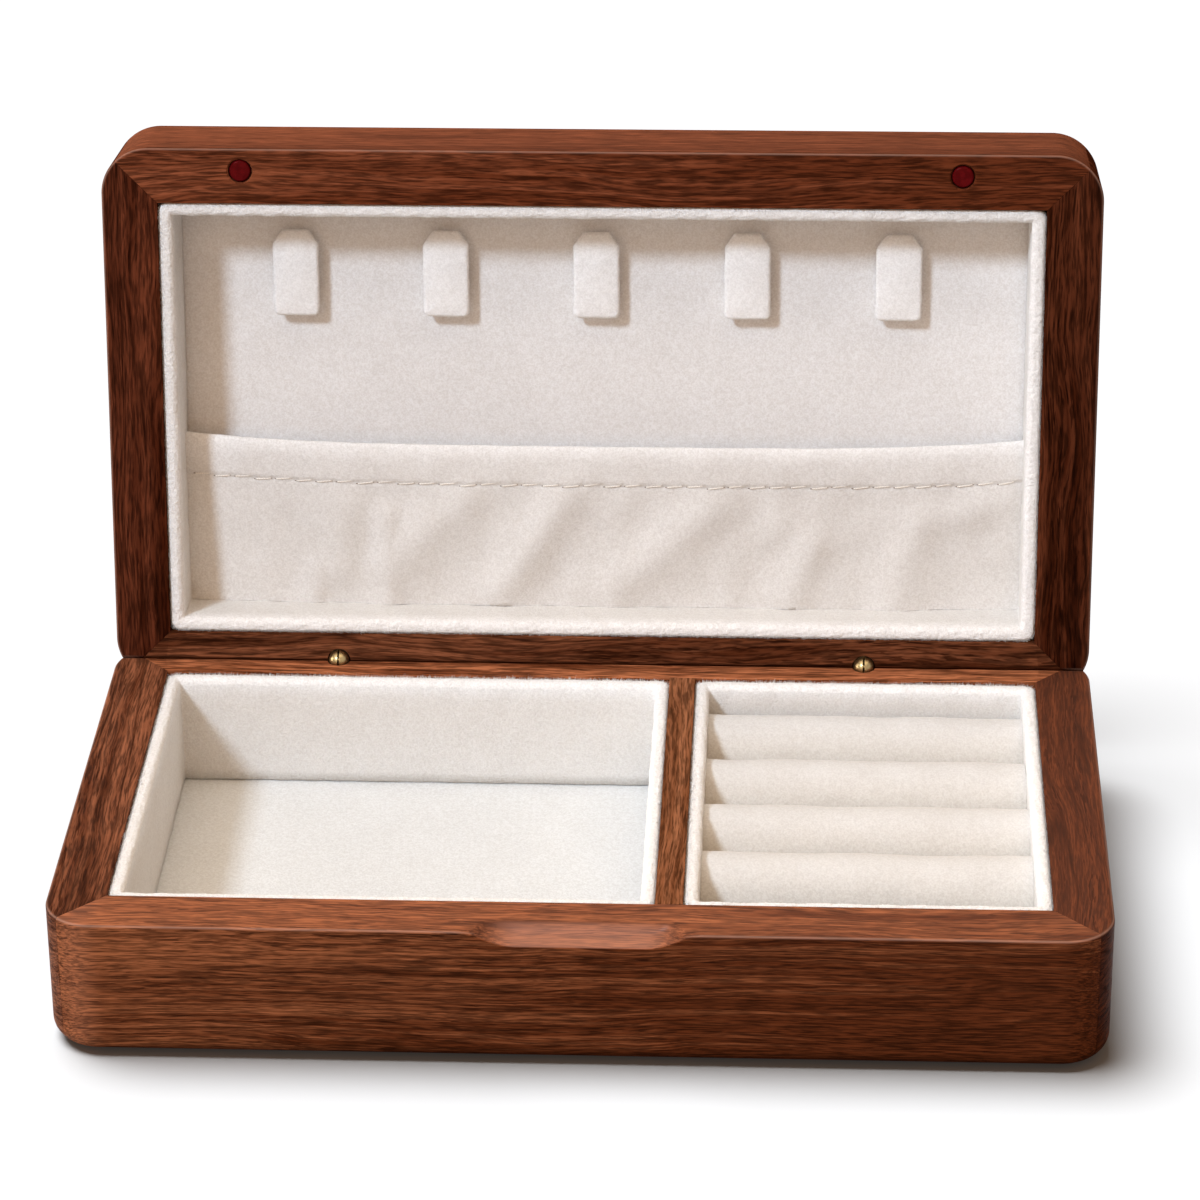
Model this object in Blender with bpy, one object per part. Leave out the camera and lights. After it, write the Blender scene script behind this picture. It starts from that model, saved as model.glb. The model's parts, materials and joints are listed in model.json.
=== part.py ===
"""Walnut jewellery box: mitred base and lid, velvet trays, ring rolls, necklace hooks and a pocket.

The base stands on z = 0 and is centred on x = 0, y = 0, with its front towards -Y.
The lid is modelled closed, around its hinge axis, and is swung open by the empty that carries it.
All lengths are in metres.
"""

import math

import bmesh
import bpy
from mathutils import Vector

# Driving sizes of the box
BOX_WIDTH = 0.250
BOX_DEPTH = 0.141
BASE_HEIGHT = 0.036
LID_THICKNESS = 0.031
OPENING_ANGLE = math.radians(99.0)
RAIL_WIDTH = 0.014
CORNER_RADIUS = 0.012
EDGE_ROUND = 0.005
ARRIS = 0.0004

# Clearances
PIECE_GAP = 0.0003
MATING_GAP = 0.0003
CUT_OVERRUN = 0.002
MERGE_DISTANCE = 0.000001

# Underside of the base
FELT_THICKNESS = 0.001
FOOT_CLEARANCE = 0.0005
BOTTOM_PANEL_THICKNESS = 0.0025
BASE_REBATE = 0.005

# Velvet linings
LINER_THICKNESS = 0.003
RIM_DROP = 0.0006
FLOOR_PAD_THICKNESS = 0.002

# Walnut strip between the two trays, and the ring rolls beside it
DIVIDER_WIDTH = 0.0066
DIVIDER_CENTRE_X = 0.0213
ROLL_COUNT = 4
FRONT_SLOT = 0.014
ROLL_FOOT_DRAW = 0.0007
ROLL_CREST_DROP = 0.0029
ROLL_END_ROUND = 0.0016

# Finger notch in the front rail
NOTCH_HALF_LENGTH = 0.0292
NOTCH_FLAT_HALF = 0.0162
NOTCH_SETBACK = 0.005
NOTCH_DROP = 0.0041
NOTCH_HOLLOW = 0.0011
NOTCH_LEAD_SHARE = 0.3

# Barrel hinges in the back rails
HINGE_FROM_END = 0.0575
HINGE_INSET = RAIL_WIDTH / 2
BARREL_RADIUS = 0.0026
BARREL_LENGTH = 0.010
BARREL_SETBACK = 0.0033
BARREL_CLEARANCE = 0.0003
BARREL_EDGE = 0.0004
LUG_SLOT = 0.0005
PIN_RADIUS = 0.0006
PIN_CLEARANCE = 0.00008
PIN_LENGTH = 0.0044

# Magnets in the front rails
MAGNET_FROM_END = 0.035
MAGNET_INSET = 0.0057
MAGNET_RADIUS = 0.0027
MAGNET_THICKNESS = 0.0025
MAGNET_SINK = 0.0001
MAGNET_CLEARANCE = 0.0003
MAGNET_EDGE = 0.0004
KEEPER_COVER = 0.0015

# Inside of the lid
LID_RECESS_DEPTH = 0.020
BACKING_THICKNESS = 0.0022
LID_REBATE = 0.004
PEARL_THICKNESS = 0.0012
PEARL_SINK = 0.0003

# Necklace hooks
HOOK_COUNT = 5
HOOK_END_MARGIN = 0.02525
HOOK_TOP_MARGIN = 0.007
HOOK_ROW_OFFSET = -0.0016
HOOK_WIDTH = 0.0117
HOOK_HEIGHT = 0.0224
HOOK_TAB_THICKNESS = 0.0022
HOOK_CHAIN_GAP = 0.0026
HOOK_NECK_HEIGHT = 0.0066
HOOK_CORNER_ACROSS = 0.0026
HOOK_CORNER_UP = 0.0036
HOOK_SOFT_EDGE = 0.0004

# Pocket across the lower part of the lid
POCKET_TOP_FROM_AXIS = 0.0565
POCKET_SHEET = 0.0014
POCKET_HEM_SHEET = 0.002
POCKET_HEM_HEIGHT = 0.011
POCKET_HEM_STANDOFF = 0.0064
POCKET_FOOT_STANDOFF = 0.0034
POCKET_BELLY = 0.0041
POCKET_SAG = 0.0018
POCKET_FOLD_HEIGHT = 0.0011
POCKET_FOLD_WIDTH = 0.0042
POCKET_STATIONS = 40
POCKET_ROWS = 9
BELLY_AT_FOOT_SHARE = 0.5
HEM_ROW_SHARES = (0.08, 0.5, 0.95)
# Each fold: across and up at its upper end, across and up at its lower end, height
FOLD_SHARES = (
    (-0.66, 0.30, -0.70, 0.00, 0.8),
    (-0.53, 0.70, -0.54, 0.00, 1.0),
    (-0.03, 0.68, -0.13, 0.05, 0.9),
    (0.26, 0.64, 0.09, 0.10, 1.0),
    (0.56, 0.32, 0.52, 0.00, 0.7),
    (0.92, 0.48, 0.80, 0.05, 1.0),
)

# Smoothness of the round shapes
CORNER_STEPS = 4
EDGE_STEPS = 4
RIM_STEPS = 6
ROLL_STEPS = 12
ROLL_END_STEPS = 3
ROUND_SEGMENTS = 24
DOME_STEPS = 4
NOTCH_STATIONS = 24
NOTCH_STEPS = 10
SMOOTH_ANGLE = math.radians(35.0)

# Places that follow from the sizes above
HALF_WIDTH = BOX_WIDTH / 2
HALF_DEPTH = BOX_DEPTH / 2
AXIS_Y = HALF_DEPTH - HINGE_INSET
AXIS_TO_FACE = MATING_GAP / 2
AXIS_Z = BASE_HEIGHT + AXIS_TO_FACE
PANEL_LOW = FELT_THICKNESS + PIECE_GAP
PANEL_HIGH = PANEL_LOW + BOTTOM_PANEL_THICKNESS
TRAY_LOW = PANEL_HIGH + PIECE_GAP
TRAY_FLOOR = TRAY_LOW + FLOOR_PAD_THICKNESS
LINING_LOW = TRAY_FLOOR + PIECE_GAP
LINING_HIGH = BASE_HEIGHT - RIM_DROP
INNER_HALF_WIDTH = HALF_WIDTH - RAIL_WIDTH
INNER_HALF_DEPTH = HALF_DEPTH - RAIL_WIDTH
LINED_HALF_WIDTH = INNER_HALF_WIDTH - PIECE_GAP - LINER_THICKNESS
LINED_HALF_DEPTH = INNER_HALF_DEPTH - PIECE_GAP - LINER_THICKNESS
DIVIDER_LEFT = DIVIDER_CENTRE_X - DIVIDER_WIDTH / 2
DIVIDER_RIGHT = DIVIDER_CENTRE_X + DIVIDER_WIDTH / 2
ROLL_PITCH = (2 * LINED_HALF_DEPTH - FRONT_SLOT) / ROLL_COUNT
ROLL_WIDTH = ROLL_PITCH - PIECE_GAP
HINGE_X = HALF_WIDTH - HINGE_FROM_END
MAGNET_X = HALF_WIDTH - MAGNET_FROM_END

# The lid's own frame: z runs from its mating face to its outer face, y from the axis to the back
LID_CENTRE_Y = -(HALF_DEPTH - HINGE_INSET)
LID_TOP = AXIS_TO_FACE + LID_THICKNESS
BACKING_LOW = AXIS_TO_FACE + LID_RECESS_DEPTH
BACKING_HIGH = BACKING_LOW + BACKING_THICKNESS
TOP_PANEL_LOW = BACKING_HIGH + PIECE_GAP
PEARL_HIGH = LID_TOP - PEARL_SINK
PEARL_LOW = PEARL_HIGH - PEARL_THICKNESS
TOP_PANEL_HIGH = PEARL_LOW - PIECE_GAP
LID_REBATE_INSET = RAIL_WIDTH - LID_REBATE
HOOK_PITCH = (2 * LINED_HALF_WIDTH - 2 * HOOK_END_MARGIN - HOOK_WIDTH) / (HOOK_COUNT - 1)
HOOK_FOOT_Y = LID_CENTRE_Y - LINED_HALF_DEPTH + HOOK_TOP_MARGIN + HOOK_HEIGHT

SIDES = {"front": 270.0, "right": 0.0, "back": 90.0, "left": 180.0}


def clear_scene():
    """Remove whatever the scene holds."""
    for item in list(bpy.data.objects):
        bpy.data.objects.remove(item, do_unlink=True)


def finish(name, colour, roughness, metallic=0.0):
    """Return a plain material with this colour, roughness and metallic value."""
    material = bpy.data.materials.new(name)
    material.use_nodes = True
    shader = material.node_tree.nodes["Principled BSDF"]
    shader.inputs["Base Color"].default_value = (*colour, 1.0)
    shader.inputs["Roughness"].default_value = roughness
    shader.inputs["Metallic"].default_value = metallic
    material.diffuse_color = (*colour, 1.0)
    return material


def make_object(name, shape, parent=None):
    """Put a finished bmesh into the scene as an object."""
    bmesh.ops.recalc_face_normals(shape, faces=shape.faces)
    mesh = bpy.data.meshes.new(name)
    shape.to_mesh(mesh)
    shape.free()
    item = bpy.data.objects.new(name, mesh)
    bpy.context.scene.collection.objects.link(item)
    item.parent = parent
    return item


def make_piece(name, shape, material, parent=None, smooth=False):
    """Put a sub-part into the scene with its material."""
    piece = make_object(name, shape, parent)
    piece.data.materials.append(material)
    if smooth:
        piece.data.shade_smooth()
        piece.data.set_sharp_from_angle(angle=SMOOTH_ANGLE)
    return piece


def make_cutter(name, shape, parent=None):
    """Put a cutting solid into the scene, left out of renders."""
    cutter = make_object(name, shape, parent)
    cutter.hide_render = True
    cutter.display_type = "WIRE"
    return cutter


def cut(piece, cutter):
    """Cut a solid out of a piece."""
    modifier = piece.modifiers.new(cutter.name, "BOOLEAN")
    modifier.operation = "DIFFERENCE"
    modifier.solver = "EXACT"
    modifier.object = cutter


def is_open_ring(ring):
    """Tell whether a ring of points encloses an area, or has shrunk to one point."""
    return (ring[0] - ring[len(ring) // 2]).length > MERGE_DISTANCE


def loft_into(shape, rings):
    """Join rings of points into one closed skin, with a cap on each end that isn't a point."""
    loops = [[shape.verts.new(point) for point in ring] for ring in rings]
    for first, second in zip(loops, loops[1:]):
        for index in range(len(first)):
            following = (index + 1) % len(first)
            corners = (first[index], first[following], second[following], second[index])
            shape.faces.new(corners)
    for ring, loop in ((rings[0], loops[0]), (rings[-1], loops[-1])):
        if is_open_ring(ring):
            shape.faces.new(loop)
    bmesh.ops.remove_doubles(shape, verts=shape.verts, dist=MERGE_DISTANCE)


def loft(rings):
    """Return a new solid skinned over rings of points."""
    shape = bmesh.new()
    loft_into(shape, rings)
    return shape


def circle(radius, height, segments=ROUND_SEGMENTS):
    """Return the points of a level circle around the Z axis."""
    turns = [2 * math.pi * index / segments for index in range(segments)]
    return [Vector((radius * math.cos(turn), radius * math.sin(turn), height)) for turn in turns]


def lathe(profile, segments=ROUND_SEGMENTS):
    """Return a solid turned around the Z axis from (radius, height) points."""
    return loft([circle(radius, height, segments) for radius, height in profile])


def box(low, high):
    """Return a box between two corners."""
    ring = [(low[0], low[1]), (high[0], low[1]), (high[0], high[1]), (low[0], high[1])]
    return loft([[Vector((x, y, z)) for x, y in ring] for z in (low[2], high[2])])


def outline_point(inset, angle, corner, centre_y=0.0):
    """Return a point of the box's plan outline, drawn in by inset, near one of its corners."""
    reach = CORNER_RADIUS - inset
    if reach > 0:
        x = corner[0] * (HALF_WIDTH - CORNER_RADIUS) + reach * math.cos(angle)
        y = corner[1] * (HALF_DEPTH - CORNER_RADIUS) + reach * math.sin(angle)
    else:
        x = corner[0] * (HALF_WIDTH - inset)
        y = corner[1] * (HALF_DEPTH - inset)
    return Vector((x, y + centre_y, 0.0))


def corner_signs(angle):
    """Return the plan quadrant that a direction points into."""
    return (math.copysign(1.0, math.cos(angle)), math.copysign(1.0, math.sin(angle)))


def rounded_slab(inset, low, high, centre_y=0.0):
    """Return a level slab that follows the box's plan outline, drawn in by inset."""
    plan = []
    for side in SIDES.values():
        diagonal = math.radians(side - 45.0)
        corner = corner_signs(diagonal)
        for step in range(2 * CORNER_STEPS + 1):
            angle = diagonal + math.radians(45.0) * (step / CORNER_STEPS - 1)
            plan.append(outline_point(inset, angle, corner, centre_y))
    return loft([[Vector((point.x, point.y, height)) for point in plan] for height in (low, high)])


def rail(side, profile, centre_y=0.0):
    """Return one mitred rail of a frame, swept from (inset, height) points round half of each corner."""
    middle = math.radians(SIDES[side])
    quarter = math.radians(45.0)
    along = Vector((math.cos(middle + 2 * quarter), math.sin(middle + 2 * quarter), 0.0))
    rings = []
    for end in (-1.0, 1.0):
        diagonal = middle + end * quarter
        corner = corner_signs(diagonal)
        mitre_normal = Vector((math.cos(middle - end * quarter), math.sin(middle - end * quarter), 0.0))
        steps = range(CORNER_STEPS, -1, -1) if end < 0 else range(CORNER_STEPS + 1)
        for step in steps:
            angle = middle + end * quarter * step / CORNER_STEPS
            ring = []
            for inset, height in profile:
                point = outline_point(inset, angle, corner, centre_y)
                if inset >= CORNER_RADIUS:
                    point = point - end * along * PIECE_GAP / math.sqrt(2)
                elif step == CORNER_STEPS:
                    point = point + mitre_normal * PIECE_GAP / 2
                ring.append(Vector((point.x, point.y, height)))
            rings.append(ring)
    return loft(rings)


def edge_arc(height_at_face, height_at_side):
    """Return (inset, height) points of the rounded outer edge, from the flat face to the side."""
    points = []
    for step in range(EDGE_STEPS + 1):
        angle = math.pi / 2 * step / EDGE_STEPS
        inset = EDGE_ROUND * (1 - math.sin(angle))
        height = height_at_side + (height_at_face - height_at_side) * math.cos(angle)
        points.append((inset, height))
    return points


def base_profile():
    """Return the section of the base rails, with the rebate for the bottom panel."""
    rebate_inset = RAIL_WIDTH - BASE_REBATE
    points = [
        (RAIL_WIDTH, BASE_HEIGHT),
        (RAIL_WIDTH, TRAY_LOW),
        (rebate_inset, TRAY_LOW),
        (rebate_inset, FOOT_CLEARANCE),
    ]
    points += edge_arc(FOOT_CLEARANCE, FOOT_CLEARANCE + EDGE_ROUND)
    points += [(0.0, BASE_HEIGHT - ARRIS), (ARRIS, BASE_HEIGHT)]
    return points


def lid_profile():
    """Return the section of the lid rails, with the rebate for the top panel."""
    points = [
        (RAIL_WIDTH, AXIS_TO_FACE),
        (RAIL_WIDTH, BACKING_HIGH),
        (LID_REBATE_INSET, BACKING_HIGH),
        (LID_REBATE_INSET, LID_TOP),
    ]
    points += edge_arc(LID_TOP, LID_TOP - EDGE_ROUND)
    points += [(0.0, AXIS_TO_FACE + ARRIS), (ARRIS, AXIS_TO_FACE)]
    return points


def back_bevel(upward):
    """Return the wedge cut off the back rails, which lets the lid lean back until the bevels meet.

    The wedge is drawn around the hinge axis. It falls away from a mating face at half the
    opening angle, below the axis for the base and above it for the lid.
    """
    slope = OPENING_ANGLE / 2
    half_gap = PIECE_GAP / 2
    run = (AXIS_TO_FACE - half_gap * math.cos(slope)) / math.sin(slope)
    edge_y = run * math.cos(slope) - half_gap * math.sin(slope)
    lead = CUT_OVERRUN
    reach = HINGE_INSET + CUT_OVERRUN
    section = [
        (edge_y - lead, -AXIS_TO_FACE + lead * math.tan(slope)),
        (edge_y + reach, -AXIS_TO_FACE - reach * math.tan(slope)),
        (edge_y + reach, -AXIS_TO_FACE + lead * math.tan(slope)),
    ]
    ends = (-HALF_WIDTH - CUT_OVERRUN, HALF_WIDTH + CUT_OVERRUN)
    return loft([[Vector((x, y, -upward * z)) for y, z in section] for x in ends])


def paired(centres, profile):
    """Return turned solids side by side along X, in one shape."""
    shape = bmesh.new()
    for x in centres:
        rings = [circle(radius, height) for radius, height in profile]
        loft_into(shape, [[point + Vector((x, 0.0, 0.0)) for point in ring] for ring in rings])
    return shape


def hinge_places():
    """Return the X places of the two hinges."""
    return (-HINGE_X, HINGE_X)


def magnet_places():
    """Return the X places of the two magnets in each front rail."""
    return (-MAGNET_X, MAGNET_X)


def notch_share(x):
    """Return how deep the finger notch is at x, from 0 at its ends to 1 along its flat middle."""
    run = (NOTCH_HALF_LENGTH - abs(x)) / (NOTCH_HALF_LENGTH - NOTCH_FLAT_HALF)
    run = min(max(run, 0.0), 1.0)
    return run * run * (3 - 2 * run)


def notch_cutter():
    """Return the scoop taken out of the front rail's top edge: a hollowed slope with faded ends."""
    rings = []
    front = -HALF_DEPTH
    for station in range(NOTCH_STATIONS + 1):
        x = NOTCH_HALF_LENGTH * (2 * station / NOTCH_STATIONS - 1)
        depth = max(notch_share(x), MERGE_DISTANCE / NOTCH_DROP)
        slope = Vector((0.0, NOTCH_SETBACK * depth, NOTCH_DROP * depth))
        inward = Vector((0.0, NOTCH_DROP, -NOTCH_SETBACK)).normalized()
        low = Vector((x, front, BASE_HEIGHT - NOTCH_DROP * depth))
        ring = []
        for step in range(NOTCH_STEPS + 1):
            share = step / NOTCH_STEPS * (1 + 2 * NOTCH_LEAD_SHARE) - NOTCH_LEAD_SHARE
            hollow = NOTCH_HOLLOW * depth * (1 - (2 * share - 1) ** 2)
            ring.append(low + slope * share + inward * hollow)
        ring.append(Vector((x, front - CUT_OVERRUN, BASE_HEIGHT + CUT_OVERRUN)))
        rings.append(ring)
    return loft(rings)


def lining_wall(side, low, high, rim, foot):
    """Return one velvet-covered wall of a tray, with a rounded rim and mitred ends.

    low and high are the tray's plan corners, rim is the height of the rounded edge and foot
    the height of the square one.
    """
    towards = math.copysign(1.0, rim - foot)
    radius = LINER_THICKNESS / 2
    section = [(0.0, foot), (LINER_THICKNESS, foot)]
    for step in range(RIM_STEPS + 1):
        angle = math.pi * step / RIM_STEPS
        section.append((radius + radius * math.cos(angle), rim - towards * radius * (1 - math.sin(angle))))
    trim = PIECE_GAP / math.sqrt(2)
    rings = []
    for end in (0, 1):
        ring = []
        for depth, height in section:
            margin = depth + trim
            if side == "front":
                x = (low[0] + margin, high[0] - margin)[end]
                y = low[1] + depth
            elif side == "back":
                x = (low[0] + margin, high[0] - margin)[end]
                y = high[1] - depth
            elif side == "left":
                x = low[0] + depth
                y = (low[1] + margin, high[1] - margin)[end]
            else:
                x = high[0] - depth
                y = (low[1] + margin, high[1] - margin)[end]
            ring.append(Vector((x, y, height)))
        rings.append(ring)
    return loft(rings)


def ring_roll(length):
    """Return a padded roll along X: round crown, drawn-in foot and softened ends, foot on z = 0."""
    radius = ROLL_WIDTH / 2
    height = BASE_HEIGHT - ROLL_CREST_DROP - LINING_LOW
    foot = radius - ROLL_FOOT_DRAW
    section = [(foot, 0.0)]
    for step in range(ROLL_STEPS + 1):
        angle = math.pi * step / ROLL_STEPS
        section.append((radius * math.cos(angle), height - radius + radius * math.sin(angle)))
    section.append((-foot, 0.0))
    rings = []
    for end in (-1, 1):
        steps = range(ROLL_END_STEPS + 1)
        for step in (steps if end < 0 else reversed(steps)):
            angle = math.pi / 2 * step / ROLL_END_STEPS
            shrink = ROLL_END_ROUND * (1 - math.sin(angle))
            x = end * (length / 2 - ROLL_END_ROUND * (1 - math.cos(angle)))
            narrow = 1 - shrink / radius
            lower = 1 - shrink / height
            rings.append([Vector((x, y * narrow, z * lower)) for y, z in section])
    return loft(rings)


def hinge_barrel():
    """Return a hinge barrel standing on -Z, with a domed head centred on the hinge axis."""
    profile = [(BARREL_RADIUS - BARREL_EDGE, -BARREL_LENGTH), (BARREL_RADIUS, BARREL_EDGE - BARREL_LENGTH)]
    for step in range(DOME_STEPS + 1):
        angle = math.pi / 2 * step / DOME_STEPS
        profile.append((BARREL_RADIUS * math.cos(angle), BARREL_RADIUS * math.sin(angle)))
    profile[-1] = (0.0, BARREL_RADIUS)
    return lathe(profile)


def lug_cutter(places, side, upward):
    """Return the boxes that take the head of each barrel down to one half lug."""
    shape = bmesh.new()
    reach = BARREL_RADIUS + CUT_OVERRUN
    for place in places:
        near = place - side * LUG_SLOT / 2
        far = place + side * reach
        heights = (-upward * BARREL_SETBACK, upward * reach)
        xs = sorted((near, far))
        zs = sorted(heights)
        ring = [(xs[0], -reach), (xs[1], -reach), (xs[1], reach), (xs[0], reach)]
        loft_into(shape, [[Vector((x, y, z)) for x, y in ring] for z in zs])
    return shape


def rod_rings(radius, low, high):
    """Return the end rings of a round rod along X."""
    return [[Vector((x, point.x, point.y)) for point in circle(radius, 0.0)] for x in (low, high)]


def hinge_pin():
    """Return a hinge pin along X, centred on the origin."""
    return loft(rod_rings(PIN_RADIUS, -PIN_LENGTH / 2, PIN_LENGTH / 2))


def pin_hole_cutter(places):
    """Return the rods that bore the lugs for their pins."""
    shape = bmesh.new()
    reach = BARREL_RADIUS + CUT_OVERRUN
    for place in places:
        loft_into(shape, rod_rings(PIN_RADIUS + PIN_CLEARANCE, place - reach, place + reach))
    return shape


def magnet_disc():
    """Return a disc around Z with softened edges, its face on z = 0 and its body above."""
    rim = MAGNET_RADIUS - MAGNET_EDGE
    return lathe([
        (rim, 0.0),
        (MAGNET_RADIUS, MAGNET_EDGE),
        (MAGNET_RADIUS, MAGNET_THICKNESS),
    ])


def hook_section(x, soft):
    """Return the section of a hook at x, with its face set back by soft."""
    face = -(HOOK_TAB_THICKNESS + HOOK_CHAIN_GAP)
    from_side = HOOK_WIDTH / 2 - abs(x)
    cut_share = max(1 - from_side / HOOK_CORNER_ACROSS, 0.0)
    top = -(HOOK_HEIGHT - HOOK_CORNER_UP * cut_share)
    points = [
        (-soft, face + soft),
        (0.0, face + HOOK_SOFT_EDGE + soft),
        (0.0, -PIECE_GAP),
        (-HOOK_NECK_HEIGHT, -PIECE_GAP),
        (-HOOK_NECK_HEIGHT, -HOOK_CHAIN_GAP),
        (top, -HOOK_CHAIN_GAP),
        (top, face + HOOK_SOFT_EDGE + soft),
        (top + HOOK_SOFT_EDGE, face + soft),
    ]
    return [Vector((x, y, z)) for y, z in points]


def necklace_hook():
    """Return a hook: a tab with cut top corners, held off the backing by a neck at its foot.

    Its foot is at y = 0 and its top at -y. Its neck ends just above z = 0 and its face is at -z.
    """
    half = HOOK_WIDTH / 2
    places = [(half, HOOK_SOFT_EDGE), (half - HOOK_SOFT_EDGE, 0.0), (half - HOOK_CORNER_ACROSS, 0.0)]
    sections = [hook_section(-x, soft) for x, soft in places]
    sections += [hook_section(x, soft) for x, soft in reversed(places)]
    return loft(sections)


def fold_height(across, up):
    """Return the height of the pocket's soft folds at a place given in shares of its size."""
    half_span = pocket_half_span()
    tall = POCKET_TOP_FROM_AXIS - pocket_foot()
    total = 0.0
    for top_across, top_up, low_across, low_up, share in FOLD_SHARES:
        start = Vector((top_across * half_span, top_up * tall))
        run = Vector((low_across * half_span, low_up * tall)) - start
        place = Vector((across * half_span, up * tall))
        along = min(max((place - start).dot(run) / run.length_squared, 0.0), 1.0)
        distance = (place - start - run * along).length
        total += share * math.exp(-((distance / POCKET_FOLD_WIDTH) ** 2))
    return POCKET_FOLD_HEIGHT * total


def pocket_half_span():
    """Return half the pocket's width between the lid's side linings."""
    return LINED_HALF_WIDTH - 2 * PIECE_GAP


def pocket_foot():
    """Return the distance from the hinge axis to the pocket's lower edge."""
    return RAIL_WIDTH - HINGE_INSET + LINER_THICKNESS + 2 * PIECE_GAP


def pocket_standoff(across, up):
    """Return how far the pocket's outer face stands off the backing at a place in shares."""
    belly = POCKET_BELLY * (BELLY_AT_FOOT_SHARE + (1 - BELLY_AT_FOOT_SHARE) * up) * (1 - across ** 4)
    straight = POCKET_FOOT_STANDOFF + (POCKET_HEM_STANDOFF - POCKET_FOOT_STANDOFF) * up
    fade = max(1 - up ** 6, 0.0)
    return straight + belly + fold_height(across, up) * fade


def pocket_sheet():
    """Return the pocket: a thin sheet with its main folds and a thicker hem along its mouth."""
    tall = POCKET_TOP_FROM_AXIS - pocket_foot()
    hem_starts = 1 - POCKET_HEM_HEIGHT / tall
    rows = [hem_starts * row / POCKET_ROWS for row in range(POCKET_ROWS + 1)]
    rows += [hem_starts + (1 - hem_starts) * share for share in HEM_ROW_SHARES]
    rings = []
    for station in range(POCKET_STATIONS + 1):
        across = 2 * station / POCKET_STATIONS - 1
        x = across * pocket_half_span()
        sag = POCKET_SAG * (1 - across ** 4)
        outer = []
        inner = []
        for up in rows:
            thickness = POCKET_HEM_SHEET if up > hem_starts else POCKET_SHEET
            y = -(pocket_foot() + up * tall - sag * up)
            outer.append(Vector((x, y, BACKING_LOW - pocket_standoff(across, up))))
            inner.append(Vector((x, y, BACKING_LOW - pocket_standoff(across, up) + thickness)))
        mouth_z = BACKING_LOW - pocket_standoff(across, 1.0) + POCKET_HEM_SHEET / 2
        mouth = Vector((x, -(pocket_foot() + tall - sag), mouth_z))
        rings.append(outer + [mouth] + inner[::-1])
    return loft(rings)


def build_base_frame(walnut):
    """Build the four base rails, with the bevel, the hinge bores, the magnet bores and the notch."""
    rails = {}
    for side in SIDES:
        rails[side] = make_piece(f"base_{side}_rail", rail(side, base_profile()), walnut, smooth=True)
    bevel = make_cutter("cut_base_back_bevel", back_bevel(-1.0))
    bevel.location = (0.0, AXIS_Y, AXIS_Z)
    for side in ("left", "right", "back"):
        cut(rails[side], bevel)
    bore = BARREL_RADIUS + BARREL_CLEARANCE
    depth = BARREL_LENGTH + PIECE_GAP
    bores = make_cutter("cut_base_hinge_bores", paired(hinge_places(), [(bore, -depth), (bore, CUT_OVERRUN)]))
    bores.location = (0.0, AXIS_Y, AXIS_Z)
    cut(rails["back"], bores)
    keeper_bore = MAGNET_RADIUS + MAGNET_CLEARANCE
    keeper_reach = RAIL_WIDTH - MAGNET_INSET + MAGNET_THICKNESS / 2 + PIECE_GAP
    keepers = make_cutter(
        "cut_base_magnet_bores",
        paired(magnet_places(), [(keeper_bore, -keeper_reach), (keeper_bore, CUT_OVERRUN)]),
    )
    keepers.rotation_euler = (-math.pi / 2, 0.0, 0.0)
    keepers.location = (0.0, -INNER_HALF_DEPTH, keeper_height())
    cut(rails["front"], keepers)
    cut(rails["front"], make_cutter("cut_finger_notch", notch_cutter()))


def keeper_height():
    """Return the height of the hidden magnets' axis in the base's front rail."""
    return BASE_HEIGHT - KEEPER_COVER - MAGNET_RADIUS - MAGNET_CLEARANCE


def build_base_magnets(steel):
    """Build the two magnets hidden in the base's front rail, set in from its inner face."""
    for name, x in zip(("left", "right"), magnet_places()):
        piece = make_piece(f"base_magnet_{name}", magnet_disc(), steel, smooth=True)
        piece.rotation_euler = (-math.pi / 2, 0.0, 0.0)
        piece.location = (x, -HALF_DEPTH + MAGNET_INSET - MAGNET_THICKNESS / 2, keeper_height())


def build_base_bottom(ply, felt):
    """Build the bottom panel in its rebate and the felt sheet that the box stands on."""
    inset = RAIL_WIDTH - BASE_REBATE + PIECE_GAP
    make_piece("base_bottom_panel", rounded_slab(inset, PANEL_LOW, PANEL_HIGH), ply)
    make_piece("base_felt_sheet", rounded_slab(inset, 0.0, FELT_THICKNESS), felt)


def build_divider(walnut):
    """Build the walnut strip that parts the two trays."""
    y = INNER_HALF_DEPTH - PIECE_GAP
    strip = box((DIVIDER_LEFT, -y, TRAY_LOW), (DIVIDER_RIGHT, y, BASE_HEIGHT))
    make_piece("base_divider", strip, walnut)


def build_tray(prefix, left, right, velvet, floor_name):
    """Build the floor and the four lined walls of one tray."""
    low = (left + PIECE_GAP, -INNER_HALF_DEPTH + PIECE_GAP)
    high = (right - PIECE_GAP, INNER_HALF_DEPTH - PIECE_GAP)
    floor = box((*low, TRAY_LOW), (*high, TRAY_FLOOR))
    make_piece(f"{prefix}_{floor_name}", floor, velvet)
    for side in SIDES:
        wall = lining_wall(side, low, high, LINING_HIGH, LINING_LOW)
        make_piece(f"{prefix}_{side}_wall", wall, velvet, smooth=True)


def build_ring_rolls(velvet):
    """Build the ring rolls, packed from the back of the right tray."""
    left = DIVIDER_RIGHT + 2 * PIECE_GAP + LINER_THICKNESS
    right = LINED_HALF_WIDTH - PIECE_GAP
    back = LINED_HALF_DEPTH - PIECE_GAP
    for index in range(ROLL_COUNT):
        roll = make_piece(f"ring_roll_{index + 1}", ring_roll(right - left), velvet, smooth=True)
        y = back - ROLL_WIDTH / 2 - index * ROLL_PITCH
        roll.location = ((left + right) / 2, y, LINING_LOW)


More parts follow.
